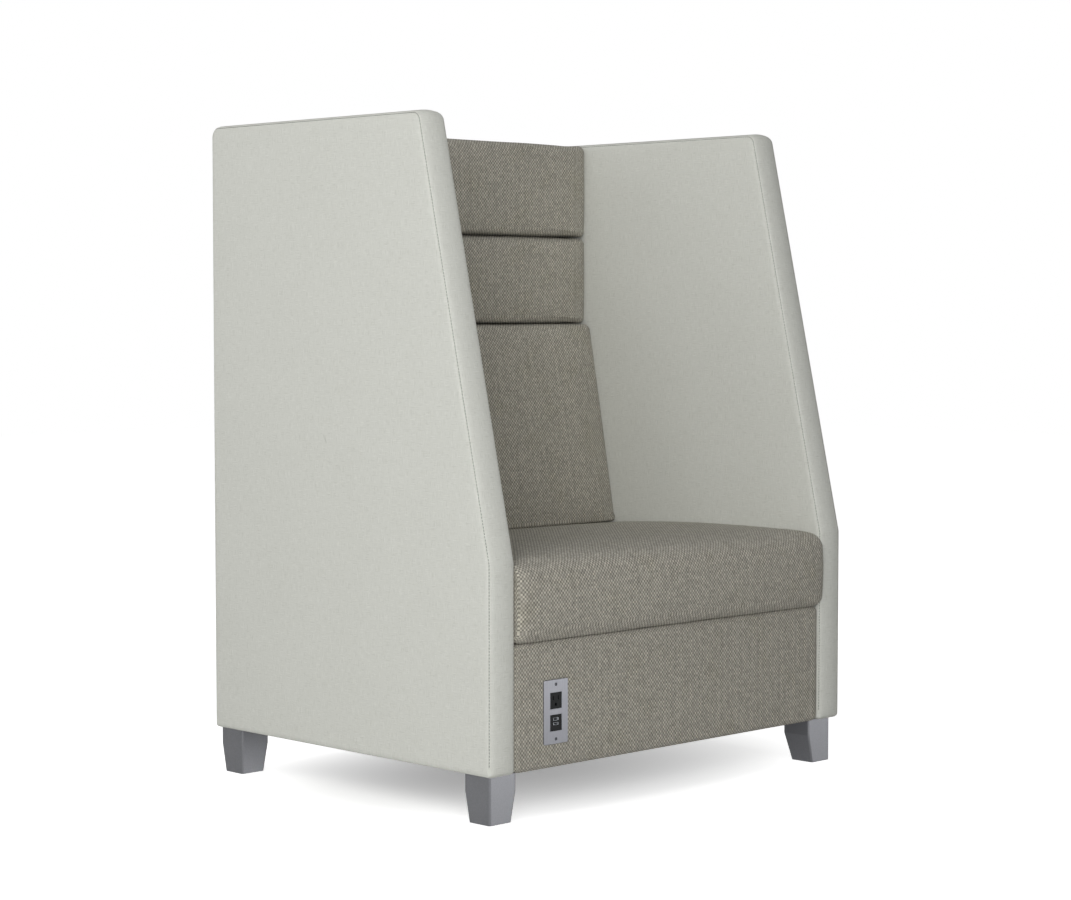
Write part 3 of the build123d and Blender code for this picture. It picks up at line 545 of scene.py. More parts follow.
# Spunbonded polypropylene: black, with a dimple of welded spots.
DUST_CLOTH = Grained(
    "spunbonded_polypropylene", "dust_cloth", ("#1C1C1D", "#2A2A2B"), (1.5, 1.5, 1.5), 0.8,
    roughness=0.9, depth_mm=0.3,
)


def each(pattern: str, places: Sequence[str]) -> list[str]:
    """A node's name at each of its places."""
    return [pattern.format(place) for place in places]


SIDES = [side.word for side in Side]
CORNERS = [f"{end}_{side}" for end in ("front", "rear") for side in SIDES]
BACKS = ["upper_back", "middle_back", "lower_back"]
CAD_FINISHES: dict[Finish, list[str]] = {
    PLYWOOD: [
        *each("{}_panel_core", SIDES), *each("{}_frame_rail", [*SIDES, "front", "rear"]), "corner_blocks",
        *each("{}_board", ["front_rail", *BACKS, "outer_back"]), "back_frame",
    ],
    FOAM: [*each("{}_panel_foam", SIDES), *each("{}_foam", ["front_rail", "seat", *BACKS, "outer_back"])],
    FELT: [*each("{}_panel_felt", SIDES), "spring_pad"],
    SPRING_STEEL: ["seat_springs"],
    ZINC_STEEL: [
        "spring_clips", "cushion_screws", "panel_bolts", "bolt_sleeves", "threaded_inserts", "leg_studs",
        "glide_nuts", "power_box", *each("{}_glide_stem", CORNERS),
    ],
    POWDER_COAT: each("{}_leg", CORNERS),
    NYLON: each("{}_glide_pad", CORNERS),
    ANODISED: ["power_faceplate"],
    BLACK_OXIDE: ["faceplate_screws"],
    MOULDED_PLASTIC: ["power_receptacle", "usb_module", "cable_bushing"],
}


# ---- Surfaces --------------------------------------------------------------------------
@dataclass(frozen=True)
class Patch:
    """A grid of points, with the place of each on the flat cloth.

    Attributes:
        points: rows by columns by 3, in metres.
        cloth: rows by columns by 2, in metres.
        keep: rows - 1 by columns - 1, false where the grid has a hole, or None.
    """

    points: np.ndarray
    cloth: np.ndarray
    keep: np.ndarray | None = None


def sewn(name: str, patches: Sequence[Patch], finish: Finish, weld: float = 1e-6) -> bpy.types.Object:
    """Sews patches to one mesh.

    Each cell of a grid becomes a face of four corners, points nearer than weld become one,
    and the faces are turned outwards.

    Args:
        name: the piece's name.
        patches: the grids, which meet at equal points.
        finish: what the piece is made of.
        weld: the distance within which points are joined.

    Returns:
        The piece, riding on the chair.
    """
    points, corners, maps, first = [], [], [], 0
    for patch in patches:
        rows, columns = patch.points.shape[:2]
        number = first + np.arange(rows * columns).reshape(rows, columns)
        cells = np.stack([number[:-1, :-1], number[1:, :-1], number[1:, 1:], number[:-1, 1:]], -1)
        cells = cells.reshape(-1, 4) if patch.keep is None else cells[patch.keep]
        corners.append(cells)
        points.append(patch.points.reshape(-1, 3))
        maps.append(patch.cloth.reshape(-1, 2)[cells.ravel() - first])
        first += rows * columns
    mesh = bpy.data.meshes.new(name)
    mesh.from_pydata(np.concatenate(points).tolist(), [], np.concatenate(corners).tolist())
    layer = mesh.uv_layers.new(name=CLOTH_MAP)
    layer.data.foreach_set("uv", np.concatenate(maps).ravel())
    shape = bmesh.new()
    shape.from_mesh(mesh)
    bmesh.ops.remove_doubles(shape, verts=shape.verts, dist=weld)
    bmesh.ops.recalc_face_normals(shape, faces=shape.faces)
    shape.to_mesh(mesh)
    shape.free()
    mesh.shade_smooth()
    return placed(name, mesh, finish)


def thicken(piece: bpy.types.Object, thickness: float) -> None:
    """Gives a cloth its thickness, inwards from its outer face."""
    wall = piece.modifiers.new("cloth_thickness", "SOLIDIFY")
    wall.thickness, wall.offset = thickness, -1


def placed(name: str, mesh: bpy.types.Mesh, finish: Finish) -> bpy.types.Object:
    """Makes the object of a mesh, dresses it and lets it ride on the chair.

    Args:
        name: the piece's name.
        mesh: its surface, in the chair's own place.
        finish: what it is made of.

    Returns:
        The piece.
    """
    mesh.materials.clear()
    mesh.materials.append(finish.material())
    piece = bpy.data.objects.new(name, mesh)
    bpy.context.scene.collection.objects.link(piece)
    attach(piece, BODY)
    log.info("%s: %d faces", name, len(mesh.polygons))
    return piece


@dataclass(frozen=True)
class Loop:
    """A closed outline with rounded corners, walked from point to point.

    Attributes:
        points: where the points lie, n by 2; the last equals the first.
        normals: their outward directions.
        mitres: the way on from the middle of a corner's arc, equally far from both sides.
        radii: how far a point can be drawn in before it is at the middle of its arc.
    """

    points: np.ndarray
    normals: np.ndarray
    mitres: np.ndarray
    radii: np.ndarray

    def drawn_in(self, inset: np.ndarray) -> np.ndarray:
        """The loop drawn in: along the normals, and past the arcs' middles along the mitres."""
        first = np.minimum(inset, self.radii)
        rest = inset - first
        return self.points - self.normals * first[..., None] - self.mitres * rest[..., None]


def rounded_loop(corners: Sequence[tuple[float, float]], radii: Sequence[float], spacing: float) -> Loop:
    """Walks round a convex outline whose corners are rounded.

    At each corner the walk follows an arc about the point that lies one radius from both
    sides, and between the arcs it follows the sides. It ends where it started.

    Args:
        corners: n by 2, counter-clockwise.
        radii: n corner radii.
        spacing: the longest step along a side.

    Returns:
        The outline.
    """
    corners, radii = np.array(corners), np.array(radii)
    arc_step = 6  # degrees
    ahead = np.roll(corners, -1, 0) - corners
    ahead /= np.linalg.norm(ahead, axis=1, keepdims=True)
    behind = np.roll(ahead, 1, 0)
    turn = np.arctan2(behind[:, 0] * ahead[:, 1] - behind[:, 1] * ahead[:, 0], (behind * ahead).sum(1))
    cut = radii * np.tan(turn / 2)
    points, normals, mitres, reaches = [], [], [], []
    for at, corner in enumerate(corners):
        start = corner - behind[at] * cut[at]
        outward = np.array([behind[at][1], -behind[at][0]])
        centre = start - outward * radii[at]
        steps = max(4, int(math.degrees(turn[at]) / arc_step))
        angles = math.atan2(outward[1], outward[0]) + np.linspace(0, turn[at], steps + 1)
        rays = np.stack([np.cos(angles), np.sin(angles)], -1)
        points.append(centre + rays * radii[at])
        normals.append(rays)
        mitre = (rays[0] + rays[-1]) / (1 + rays[0] @ rays[-1])
        mitres.append(np.repeat(mitre[None], len(rays), 0))
        reaches.append(np.full(len(rays), radii[at]))
        leave = corner + ahead[at] * cut[at]
        goal = np.roll(corners, -1, 0)[at] - ahead[at] * np.roll(cut, -1)[at]
        count = max(2, int(np.linalg.norm(goal - leave) / spacing))
        share = np.linspace(0, 1, count + 1)[1:-1, None]
        points.append(leave + (goal - leave) * share)
        normals.append(np.repeat(rays[-1:], count - 1, 0))
        mitres.append(normals[-1])
        reaches.append(np.full(count - 1, np.inf))
    lines = (points, normals, mitres, reaches)
    return Loop(*(np.concatenate([*line, line[0][:1]]) for line in lines))


def run_length(points: np.ndarray) -> np.ndarray:
    """How far along a line of points each point lies."""
    steps = np.linalg.norm(np.diff(points, axis=0), axis=1)
    return np.concatenate([[0.0], np.cumsum(steps)])


def closed_end(ring: np.ndarray, shares: Sequence[float]) -> list[np.ndarray]:
    """Closes a loop of points: loops drawn towards its middle, and a ladder in the last one.

    Args:
        ring: n by 3, the last point equal to the first.
        shares: the size of each loop, from 1 down.

    Returns:
        The loops as one grid, and the ladder of rungs between the last loop's two halves.
    """
    middle = ring[:-1].mean(0)
    loops = middle + (ring - middle) * np.array(shares)[:, None, None]
    rungs = np.arange((len(ring) - 1) // 2 + 1)
    last = loops[-1]
    return [loops, np.stack([last[rungs], last[len(ring) - 1 - rungs]])]


def ease(value: np.ndarray, low: float, high: float) -> np.ndarray:
    """Rises smoothly from 0 at low to 1 at high."""
    share = np.clip((value - low) / (high - low), 0, 1)
    return share * share * (3 - 2 * share)


def scattered(
    name: str, base: Patch, centres: Sequence[np.ndarray], axes: Sequence[np.ndarray], finish: Finish
) -> bpy.types.Object:
    """Sets copies of one small shape at many places, in one mesh.

    Args:
        name: the piece's name.
        base: the small shape, about the origin.
        centres: groups of n by 3, where the copies stand.
        axes: groups of n by 3 by 3, the rows of which are each copy's own X, Y and Z.
        finish: what the copies are made of.

    Returns:
        The piece, riding on the chair.
    """
    copies = np.einsum("rcj,njk->nrck", base.points, np.concatenate(axes))
    copies = copies + np.concatenate(centres)[:, None, None, :]
    patches = [Patch(copy, base.cloth) for copy in copies]
    return sewn(name, patches, finish, weld=1e-7)


def capsule(length: float, radius: float, sides: int = 6) -> Patch:
    """A stitch: a round bar along X with rounded ends.

    Its radius falls with the square root of one minus the fourth power of the place along it.

    Args:
        length: from end to end.
        radius: in the middle.
        sides: how many sides the bar has.

    Returns:
        The bar about the origin.
    """
    share = np.array([-1.0, -0.86, -0.5, 0.0, 0.5, 0.86, 1.0])
    girth = radius * np.sqrt(np.maximum(0, 1 - share**4))
    turn = np.linspace(0, 2 * math.pi, sides + 1)
    along = np.repeat(share[:, None] * length / 2, sides + 1, 1)
    points = np.stack([along, girth[:, None] * np.cos(turn), girth[:, None] * np.sin(turn)], -1)
    return Patch(points, np.stack([along, np.zeros_like(along)], -1))


# ---- Side panels -----------------------------------------------------------------------
@dataclass
class SidePanel:
    """A tall side panel: a sewn cloth cover with a seam along each of its edges.

    Attributes:
        side: the side of the chair.
        knee_height: where the front edge starts to slope back.
        top_setback: how far the front edge has sloped back at the top.
        corner_radius: rounding of the outline's corners.
        foot_radius: rounding of the two corners at the foot.
        spacing: the longest step along its edges.
        sewn_from: how far over the foot the seam starts, and how far it is full.
        edge_reach: how far from an edge the cloth starts to bend over it.
        seam_drop: how far the seam lies in from the two faces that meet at it.
        groove: depth of the seam's own groove.
        groove_width: half the groove's width.
        ridge: height of the cloth that the seam pushes up beside it.
        ridge_place: where it lies, in halves of the groove's width.
        groove_steps: the rings over groove and ridge, in the same measure.
        flat_start: how far from the seam the wider rings start.
        face_loops: how many loops a face has, and core_share: the size of the last one.
        band_crown: how far the band between the two seams stands proud.
        stitch_pitch: distance between stitches.
        stitch_length: length of one stitch.
        stitch_radius: half the thread's thickness.
    """

    side: Side
    knee_height: float = 0.468
    top_setback: float = 0.183
    corner_radius: float = 0.020
    foot_radius: float = 0.008
    spacing: float = 0.010
    sewn_from: tuple[float, float] = (0.002, 0.012)
    edge_reach: float = 0.015
    seam_drop: float = 0.0024
    groove: float = 0.0014
    groove_width: float = 0.0010
    ridge: float = 0.0003
    ridge_place: float = 2.2
    groove_steps: tuple[float, ...] = (0, 0.5, 1, 1.5, 2.2, 3.2)
    flat_start: float = 0.0054
    face_loops: int = 25
    core_share: float = 0.04
    band_crown: float = 0.0034
    stitch_pitch: float = 0.0058
    stitch_length: float = 0.0046
    stitch_radius: float = 0.00050

    def __post_init__(self) -> None:
        """Takes the panel's box from its CAD cover, and draws its outline."""
        low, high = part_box(f"{self.side.word}_panel_cover")
        rear, front, foot, top = high.y, low.y, low.z, high.z
        self.faces = (low.x, high.x) if self.side is Side.RIGHT else (high.x, low.x)
        corners = [
            (front, foot),
            (rear, foot),
            (rear, top),
            (front + self.top_setback, top),
            (front, self.knee_height),
        ]
        radii = [self.foot_radius] * 2 + [self.corner_radius] * 3
        self.outline = rounded_loop(corners, radii, self.spacing)
        self.sewn = ease(self.outline.points[:, 1] - foot, *self.sewn_from)

    def edge_profile(self) -> np.ndarray:
        """The bend of the cloth from a face to the seam, as seen along the edge.

        The drop from the face grows with the cube of the way from edge_reach to the seam.
        The seam's groove is a bell curve, with a lower, opposite one for the ridge beside
        it, and both act half way between the two faces.

        Returns:
            For each ring and each point of the outline, the way in from the edge and the
            drop from the face: equal where they meet, at the seam.
        """
        reach = self.edge_reach - self.seam_drop
        steps = np.array(self.groove_steps)[:, None] * self.groove_width
        past_seam = np.concatenate([steps, np.linspace(self.flat_start, reach, 6)[:, None]])[::-1]
        share = 1 - past_seam / reach
        place = past_seam / self.groove_width
        ridge = self.ridge * np.exp(-((place - self.ridge_place) ** 2))
        dip = self.groove * np.exp(-(place**2)) - ridge
        dip = dip * self.sewn / math.sqrt(2)
        return np.stack([self.seam_drop + past_seam + dip, self.seam_drop * share**3 + dip])

    def ring(self, x: np.ndarray, inset: np.ndarray) -> np.ndarray:
        """Loops of the outline, drawn in by an inset, at a depth x; both vary along them."""
        return np.concatenate([x[..., None], self.outline.drawn_in(inset)], -1)

    def face_patches(self, face_x: float, inward: float) -> list[Patch]:
        """One face: loops from its middle out to the seam.

        Args:
            face_x: where the face lies.
            inward: the sign of X from the face to the panel's core.

        Returns:
            The patches, with their cloth running along Y and Z.
        """
        inset, drop = self.edge_profile()
        edge = self.ring(face_x + inward * drop, inset)
        flat, ladder = closed_end(edge[0], np.linspace(1, self.core_share, self.face_loops))
        grids = [np.concatenate([flat[::-1], edge[1:]]), ladder]
        return [Patch(grid, grid[..., 1:] * [-inward, 1.0]) for grid in grids]

    def band_patch(self) -> Patch:
        """The band between the two seams: it bends over at both, and is crowned between.

        The crown is a half sine across the band, and fades out under the panel.

        Returns:
            The band, with its cloth running across it and along it.
        """
        inset, drop = self.edge_profile()
        inner, outer = self.faces
        step = math.copysign(1.0, outer - inner)
        width = abs(outer - inner)
        middle = np.linspace(self.edge_reach, width - self.edge_reach, 9)[1:-1, None]
        middle = middle + np.zeros_like(inset[:1])
        across = np.concatenate([inset[::-1], middle, width - inset])
        depth = np.concatenate([drop[::-1], np.zeros_like(middle), drop])
        seam = inset[-1]
        bow = np.sin(math.pi * (across - seam) / (width - 2 * seam))
        points = self.ring(inner + step * across, depth - self.band_crown * bow * self.sewn)
        along = run_length(self.outline.points)
        return Patch(points, np.stack(np.broadcast_arrays(across, along), -1))

    def build(self) -> None:
        """Sews the cover from its two faces and its band, and stitches it."""
        inner, outer = self.faces
        step = math.copysign(1.0, outer - inner)
        patches = [self.band_patch()]
        for face, inward in ((inner, step), (outer, -step)):
            patches += self.face_patches(face, inward)
        cover = sewn(f"{self.side.word}_panel_sleeve", patches, PANEL_CLOTH)
        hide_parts(f"{self.side.word}_panel_cover")
        self.stitch()

    def stitch(self) -> None:
        """Lays a row of stitches in each seam, over the front, top and rear edges."""
        along = run_length(self.outline.points)
        count = int(along[-1] / self.stitch_pitch)
        stations = (np.arange(count) + 0.5) * along[-1] / count
        stations = stations[np.interp(stations, along, self.sewn) > 0.99]
        place, normal = (
            np.stack([np.interp(stations, along, line[:, axis]) for axis in (0, 1)], -1)
            for line in (self.outline.points, self.outline.normals)
        )
        normal /= np.linalg.norm(normal, axis=1, keepdims=True)
        sunk = self.seam_drop + (self.groove - self.stitch_radius) / math.sqrt(2)
        flat = place - normal * sunk
        centres, axes = [], []
        for face, other in (self.faces, self.faces[::-1]):
            inward = math.copysign(1.0, other - face)
            depth = np.full((len(flat), 1), face + inward * sunk)
            centres.append(np.concatenate([depth, flat], 1))
            run = np.stack([0 * depth[:, 0], -normal[:, 1], normal[:, 0]], -1)
            out = np.concatenate([np.full_like(depth, -inward), normal], 1) / math.sqrt(2)
            axes.append(np.stack([run, np.cross(out, run), out], 1))
        stitch = capsule(self.stitch_length, self.stitch_radius)
        # The thread's dark colour stands in for the seam's shade too: painted shade.
        scattered(f"{self.side.word}_panel_stitches", stitch, centres, axes, THREAD_WITH_PAINTED_SEAM_SHADE)


# ---- Cushions --------------------------------------------------------------------------
@dataclass(frozen=True)
class Bow:
    """A side of a cushion's side view that swells between two corners.

    Attributes:
        start: first corner (y, z), counter-clockwise.
        end: second corner (y, z).
        at_ends: height of the bow at the cushion's two ends.
        at_middle: height of the bow half way between them.
    """

    start: tuple[float, float]
    end: tuple[float, float]
    at_ends: float
    at_middle: float

    def lift(self, points: np.ndarray, normals: np.ndarray, share: np.ndarray) -> np.ndarray:
        """How far each point of each section stands out.

        A parabola between the corners, times the square of how far the point faces the
        bow's own way, times a height that goes from at_ends to at_middle with share.

        Args:
            points: the section's points, n by 2.
            normals: their outward directions.
            share: each section's share of the crown.

        Returns:
            Sections by n.
        """
        way = np.subtract(self.end, self.start)
        place = (points - self.start) @ way / (way @ way)
        outward = np.array([way[1], -way[0]]) / np.linalg.norm(way)
        facing = np.clip(normals @ outward, 0, 1) ** 2
        height = self.at_ends + (self.at_middle - self.at_ends) * share[:, None]
        return height * np.clip(4 * place * (1 - place), 0, 1) * facing


@dataclass
class Cushion:
    """A stuffed cushion: a closed cloth cover, carried across the chair and then inflated.

    Attributes:
        name: the piece's name.
        node: the CAD node that it stands for.
        end_reach: how far from each end the cover starts to round off.
        end_draw: how far it is drawn in there.
        swell: the most that a point may move as the cover fills.
        step: spacing of the cover's points.
        unevenness: height of the slight lumps of the filling.
        lump_width: width of a lump and the hollow beside it.
        lump_phase: moves the lumps across the chair.
        lump_count: how many there are round a section.
        end_loops: sizes of the loops that close each end.
        end_margin: points nearer to an end than this are held as the cover fills.
        rear_margin: so are those nearer to the back.
        frames: how long the cover fills.
    """

    name: str
    node: str
    end_reach: float = 0.014
    end_draw: float = 0.011
    swell: float = 0.0035
    step: float = 0.013
    unevenness: float = 0.0005
    lump_width: float = 0.19
    lump_phase: float = 1.3
    lump_count: int = 11
    end_loops: tuple[float, ...] = (1.0, 0.96, 0.88, 0.7, 0.45, 0.2)
    end_margin: float = 0.001
    rear_margin: float = 0.002
    frames: int = 20

    def __post_init__(self) -> None:
        """Takes the cushion's box from its CAD solid."""
        self.low, self.high = (np.array(corner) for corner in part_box(self.node))

    def side_view(self) -> tuple[list[tuple[float, float]], list[float], list[Bow]]:
        """The side view's corners (y, z) counter-clockwise, their radii, and its bows."""
        raise NotImplementedError

    def resting(self, points: np.ndarray) -> np.ndarray:
        """Which points are held by what the cushion rests on."""
        at_end = np.abs(points[:, 0]) > self.high[0] - self.end_margin
        return at_end | (points[:, 1] > self.high[1] - self.rear_margin)

    def stations(self) -> tuple[np.ndarray, np.ndarray, np.ndarray]:
        """Sections across the cushion.

        The ends are quarters of an ellipse in plan. The share of the crown falls from 1 in
        the middle to 0 at the ends, with the power 2.5 of the way out.

        Returns:
            Each section's X, how far it is drawn in, and its share of the crown.
        """
        half = self.high[0]
        flat_half = half - self.end_reach
        turn = np.linspace(0, math.pi / 2, 7)[1:]
        count = int(2 * flat_half / self.step)
        middle = np.linspace(-flat_half, flat_half, count + 1)
        end = flat_half + self.end_reach * np.sin(turn)
        drawn = self.end_draw * (1 - np.cos(turn))
        x = np.concatenate([-end[::-1], middle, end])
        inset = np.concatenate([drawn[::-1], np.zeros_like(middle), drawn])
        return x, inset, 1 - np.clip(np.abs(x) / flat_half, 0, 1) ** 2.5

    def patches(self) -> list[Patch]:
        """The cover: a sleeve of all sections, and a flat patch at each end.

        A section is the side view, drawn in near the ends, with its bows and two crossing
        sines for the slight lumps of the filling.

        Returns:
            The sleeve and the two ends, which meet at equal points.
        """
        corners, radii, bows = self.side_view()
        outline = rounded_loop(corners, radii, self.step)
        loop, normals = outline.points, outline.normals
        x, inset, share = self.stations()
        along = run_length(loop)
        lumps = np.sin(2 * math.pi * along / along[-1] * self.lump_count)
        lumps = np.sin(2 * math.pi * x / self.lump_width + self.lump_phase)[:, None] * lumps
        free = 1 - np.clip(normals @ [1.0, 0.0], 0, 1)
        stand = (self.unevenness * lumps * share[:, None] - inset[:, None]) * free
        stand = stand + sum(bow.lift(loop, normals, share) for bow in bows)
        flat = loop + normals * stand[..., None]
        points = np.concatenate([np.repeat(x[:, None, None], len(loop), 1), flat], -1)
        across = run_length(np.stack([x, inset], -1))
        made = [Patch(points, np.stack(np.broadcast_arrays(across[:, None], along), -1))]
        for end in (points[0], points[-1]):
            made += [Patch(grid, grid[..., 1:].copy()) for grid in closed_end(end, self.end_loops)]
        return made

    def build(self) -> None:
        """Sews the cover, inflates it and smooths it."""
        cover = sewn(self.name, self.patches(), BASKET_CLOTH)
        self.inflate(cover)
        finer = cover.modifiers.new("finer", "SUBSURF")
        finer.levels = finer.render_levels = 1
        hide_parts(self.node)

    def inflate(self, cover: bpy.types.Object) -> None:
        """Fills the cover with air as a cloth that is held where the cushion rests.

        A point's way is then limited to the swell, by its hyperbolic tangent, and no point
        leaves the space between the panels, the seat and the neighbouring cushions.

        Args:
            cover: the sewn cover, whose own mesh is changed.
        """
        count = len(cover.data.vertices)
        before = np.empty(count * 3)
        cover.data.vertices.foreach_get("co", before)
        before = before.reshape(-1, 3)
        held = cover.vertex_groups.new(name="held")
        held.add(np.flatnonzero(self.resting(before)).tolist(), 1.0, "REPLACE")
        cloth = cover.modifiers.new("cloth", "CLOTH")
        settings = cloth.settings
        settings.quality = 5
        settings.mass = 0.3
        settings.tension_stiffness = 15
        settings.compression_stiffness = 15
        settings.shear_stiffness = 5
        settings.bending_stiffness = 2
        settings.use_pressure = True
        settings.uniform_pressure_force = 4
        settings.vertex_group_mass = held.name
        settings.effector_weights.gravity = 0
        cloth.point_cache.frame_start, cloth.point_cache.frame_end = 1, self.frames
        for moment in range(1, self.frames + 1):
            bpy.context.scene.frame_set(moment)
        graph = bpy.context.evaluated_depsgraph_get()
        after = np.empty(count * 3)
        cover.evaluated_get(graph).data.vertices.foreach_get("co", after)
        cover.modifiers.clear()
        cover.vertex_groups.clear()
        bpy.context.scene.frame_set(1)
        way = after.reshape(-1, 3) - before
        length = np.maximum(np.linalg.norm(way, axis=1, keepdims=True), 1e-9)
        after = before + way / length * self.swell * np.tanh(length / self.swell)
        room = np.array([0.0, self.swell, 0.0])
        after = np.clip(after, self.low - room, self.high)
        cover.data.vertices.foreach_set("co", after.ravel())
        cover.data.update()


@dataclass
class SeatCushion(Cushion):
    """The seat: a bulged front, a crest behind it and a flat foot.

    Attributes:
        front_bulge: how far the front bows out between its corners.
        front_crown: how much more it bows in the middle.
        front_top: height of the upper front corner.
        joint: where the seat meets the lower back cushion (y, z).
        crest_bow: height of the crest over its corners, at the cushion's ends.
        crown: how much higher the crest is in the middle.
        upper_radius: rounding of the upper front edge.
        lower_radius: rounding of the lower front edge.
        rear_radius: rounding of the edges behind.
        foot_margin: points nearer to the foot than this are held as the cover fills.
        free_front: how far behind the front that starts.
        tucked: how far ahead of the joint the cover is held too.
    """

    end_reach: float = 0.020
    end_draw: float = 0.008
    front_bulge: float = 0.005
    front_crown: float = 0.002
    front_top: float = 0.470
    joint: tuple[float, float] = (0.172, 0.455)
    crest_bow: float = 0.0077
    crown: float = 0.0098
    upper_radius: float = 0.030
    lower_radius: float = 0.020
    rear_radius: float = 0.004
    foot_margin: float = 0.003
    free_front: float = 0.04
    tucked: float = 0.01

    def side_view(self) -> tuple[list[tuple[float, float]], list[float], list[Bow]]:
        """The seat in (y, z); its top runs on under the back cushion in one line.

        Returns:
            Its corners, their radii, and the bows of its top and of its front.
        """
        front, rear, foot = self.low[1] + self.front_bulge, self.high[1], self.low[2]
        fall = (self.joint[1] - self.front_top) / (self.joint[0] - front)
        rear_top = self.front_top + fall * (rear - front)
        corners = [(front, foot), (rear, foot), (rear, rear_top), (front, self.front_top)]
        radii = [self.lower_radius, self.rear_radius, self.rear_radius, self.upper_radius]
        top = Bow(self.joint, (front, self.front_top), self.crest_bow, self.crest_bow + self.crown)
        bulge = self.front_bulge
        face = Bow((front, self.front_top), (front, foot), bulge, bulge + self.front_crown)
        return corners, radii, [top, face]

    def resting(self, points: np.ndarray) -> np.ndarray:
        """Held at its foot too, and under the back cushion."""
        low = points[:, 2] < self.low[2] + self.foot_margin
        foot = low & (points[:, 1] > self.low[1] + self.free_front)
        return super().resting(points) | foot | (points[:, 1] > self.joint[0] - self.tucked)


@dataclass
class BackCushion(Cushion):
    """A back cushion: a crowned face between two rounded edges, and a flat back.

    Attributes:
        lean: how far the face runs forward from its top to its foot.
        bulge: bow of the face at the cushion's ends.
        crown: how much more it bows in the middle.
        top_radius: rounding of the face's upper edge.
        foot_radius: rounding of its lower edge.
        rear_radius: rounding of the edges behind.
        face_foot: where the face's lower edge lies.
    """

    lean: float = 0.0
    bulge: float = 0.001
    crown: float = 0.003
    top_radius: float = 0.015
    foot_radius: float = 0.013
    rear_radius: float = 0.001
    face_foot: float = 0.267

    def side_view(self) -> tuple[list[tuple[float, float]], list[float], list[Bow]]:
        """The cushion in (y, z).

        Returns:
            Its corners, their radii, and the bow of its face.
        """
        rear, foot, top = self.high[1], self.low[2], self.high[2]
        front_foot = self.face_foot
        front_top = front_foot + self.lean
        corners = [(front_foot, foot), (rear, foot), (rear, top), (front_top, top)]
        radii = [self.foot_radius, self.rear_radius, self.rear_radius, self.top_radius]
        face = Bow((front_top, top), (front_foot, foot), self.bulge, self.bulge + self.crown)
        return corners, radii, [face]


# ---- Front rail, outer back and dust cover ---------------------------------------------
@dataclass(frozen=True)
class Wrapped:
    """Cloth wrapped over a board: the sides of a box whose edges are rounded.

    Attributes:
        low: lowest corner of the box.
        high: highest corner of the box.
        radii: how far the rounding reaches along X, Y and Z.
        spacing: the widest step of a side's grid.
        open_low: axes on whose low side the box isn't rounded.
        open_high: axes on whose high side the box isn't rounded.
        least_step: lines nearer than this become one.
    """

    low: np.ndarray
    high: np.ndarray
    radii: np.ndarray
    spacing: float
    open_low: tuple[int, ...] = ()
    open_high: tuple[int, ...] = ()
    least_step: float = 2e-4

    def lines(self, axis: int, cuts: Sequence[float] = ()) -> np.ndarray:
        """Grid lines along an axis: close together at rounded edges, and at given cuts.

        Args:
            axis: the axis.
            cuts: places that a line has to pass.

        Returns:
            The lines' places, rising.
        """
        start, end = self.low[axis], self.high[axis]
        edge = np.linspace(0, self.radii[axis], 6)
        low_edge = [start] if axis in self.open_low else list(start + edge)
        high_edge = [end] if axis in self.open_high else list(end - edge)
        count = max(2, int((end - start) / self.spacing))
        free = np.linspace(low_edge[-1], min(high_edge[-1], end), count + 1)
        found = np.unique(np.round(np.concatenate([low_edge, high_edge, free, list(cuts)]), 7))
        return found[np.concatenate([[True], np.diff(found) > self.least_step])]

    def rounded(self, points: np.ndarray) -> np.ndarray:
        """Draws the box's surface in at its edges.

        A point is set off from the nearest point of an inner box by the radii, along the
        direction in which it lies: an ellipsoid's eighth at a corner, a quarter of an
        ellipse along an edge.

        Args:
            points: on the sharp box.

        Returns:
            The points on the rounded one.
        """
        inner_low, inner_high = self.low + self.radii, self.high - self.radii
        for axis in self.open_low:
            inner_low[axis] = self.low[axis]
        for axis in self.open_high:
            inner_high[axis] = self.high[axis]
        inner = np.clip(points, inner_low, inner_high)
        away = (points - inner) / self.radii
        length = np.linalg.norm(away, axis=-1, keepdims=True)
        return inner + away / np.maximum(length, 1e-9) * self.radii

    def side(
        self, axis: int, at: float, unroll: Unroll, cuts: Sequence[Sequence[float]] = ((), ())
    ) -> Patch:
        """One side of the box as a grid.

        Args:
            axis: the axis that the side is square to.
            at: its place on that axis.
            unroll: gives the place on the flat cloth from the two other coordinates.
            cuts: places that the lines of the two other axes have to pass.

        Returns:
            The side, rounded at its edges.
        """
        others = [k for k in range(3) if k != axis]
        grid = np.meshgrid(*(self.lines(k, cut) for k, cut in zip(others, cuts)), indexing="ij")
        points = np.empty(grid[0].shape + (3,))
        points[..., axis] = at
        points[..., others] = np.stack(grid, -1)
        return Patch(self.rounded(points), np.stack(unroll(*grid), -1))

    def crowned(self, patch: Patch, rise: float) -> Patch:
        """Lifts a side that faces along Y by a parabola in X times one in Z.

        Args:
            patch: the side, whose cloth runs along X and Z.
            rise: how far its middle moves along Y.

        Returns:
            The lifted side.
        """
        middle, half = (self.low + self.high) / 2, (self.high - self.low) / 2
        share = 1 - ((patch.cloth - middle[[0, 2]]) / half[[0, 2]]) ** 2
        points = patch.points + [0.0, rise, 0.0] * share.prod(-1, keepdims=True)
        return Patch(points, patch.cloth)


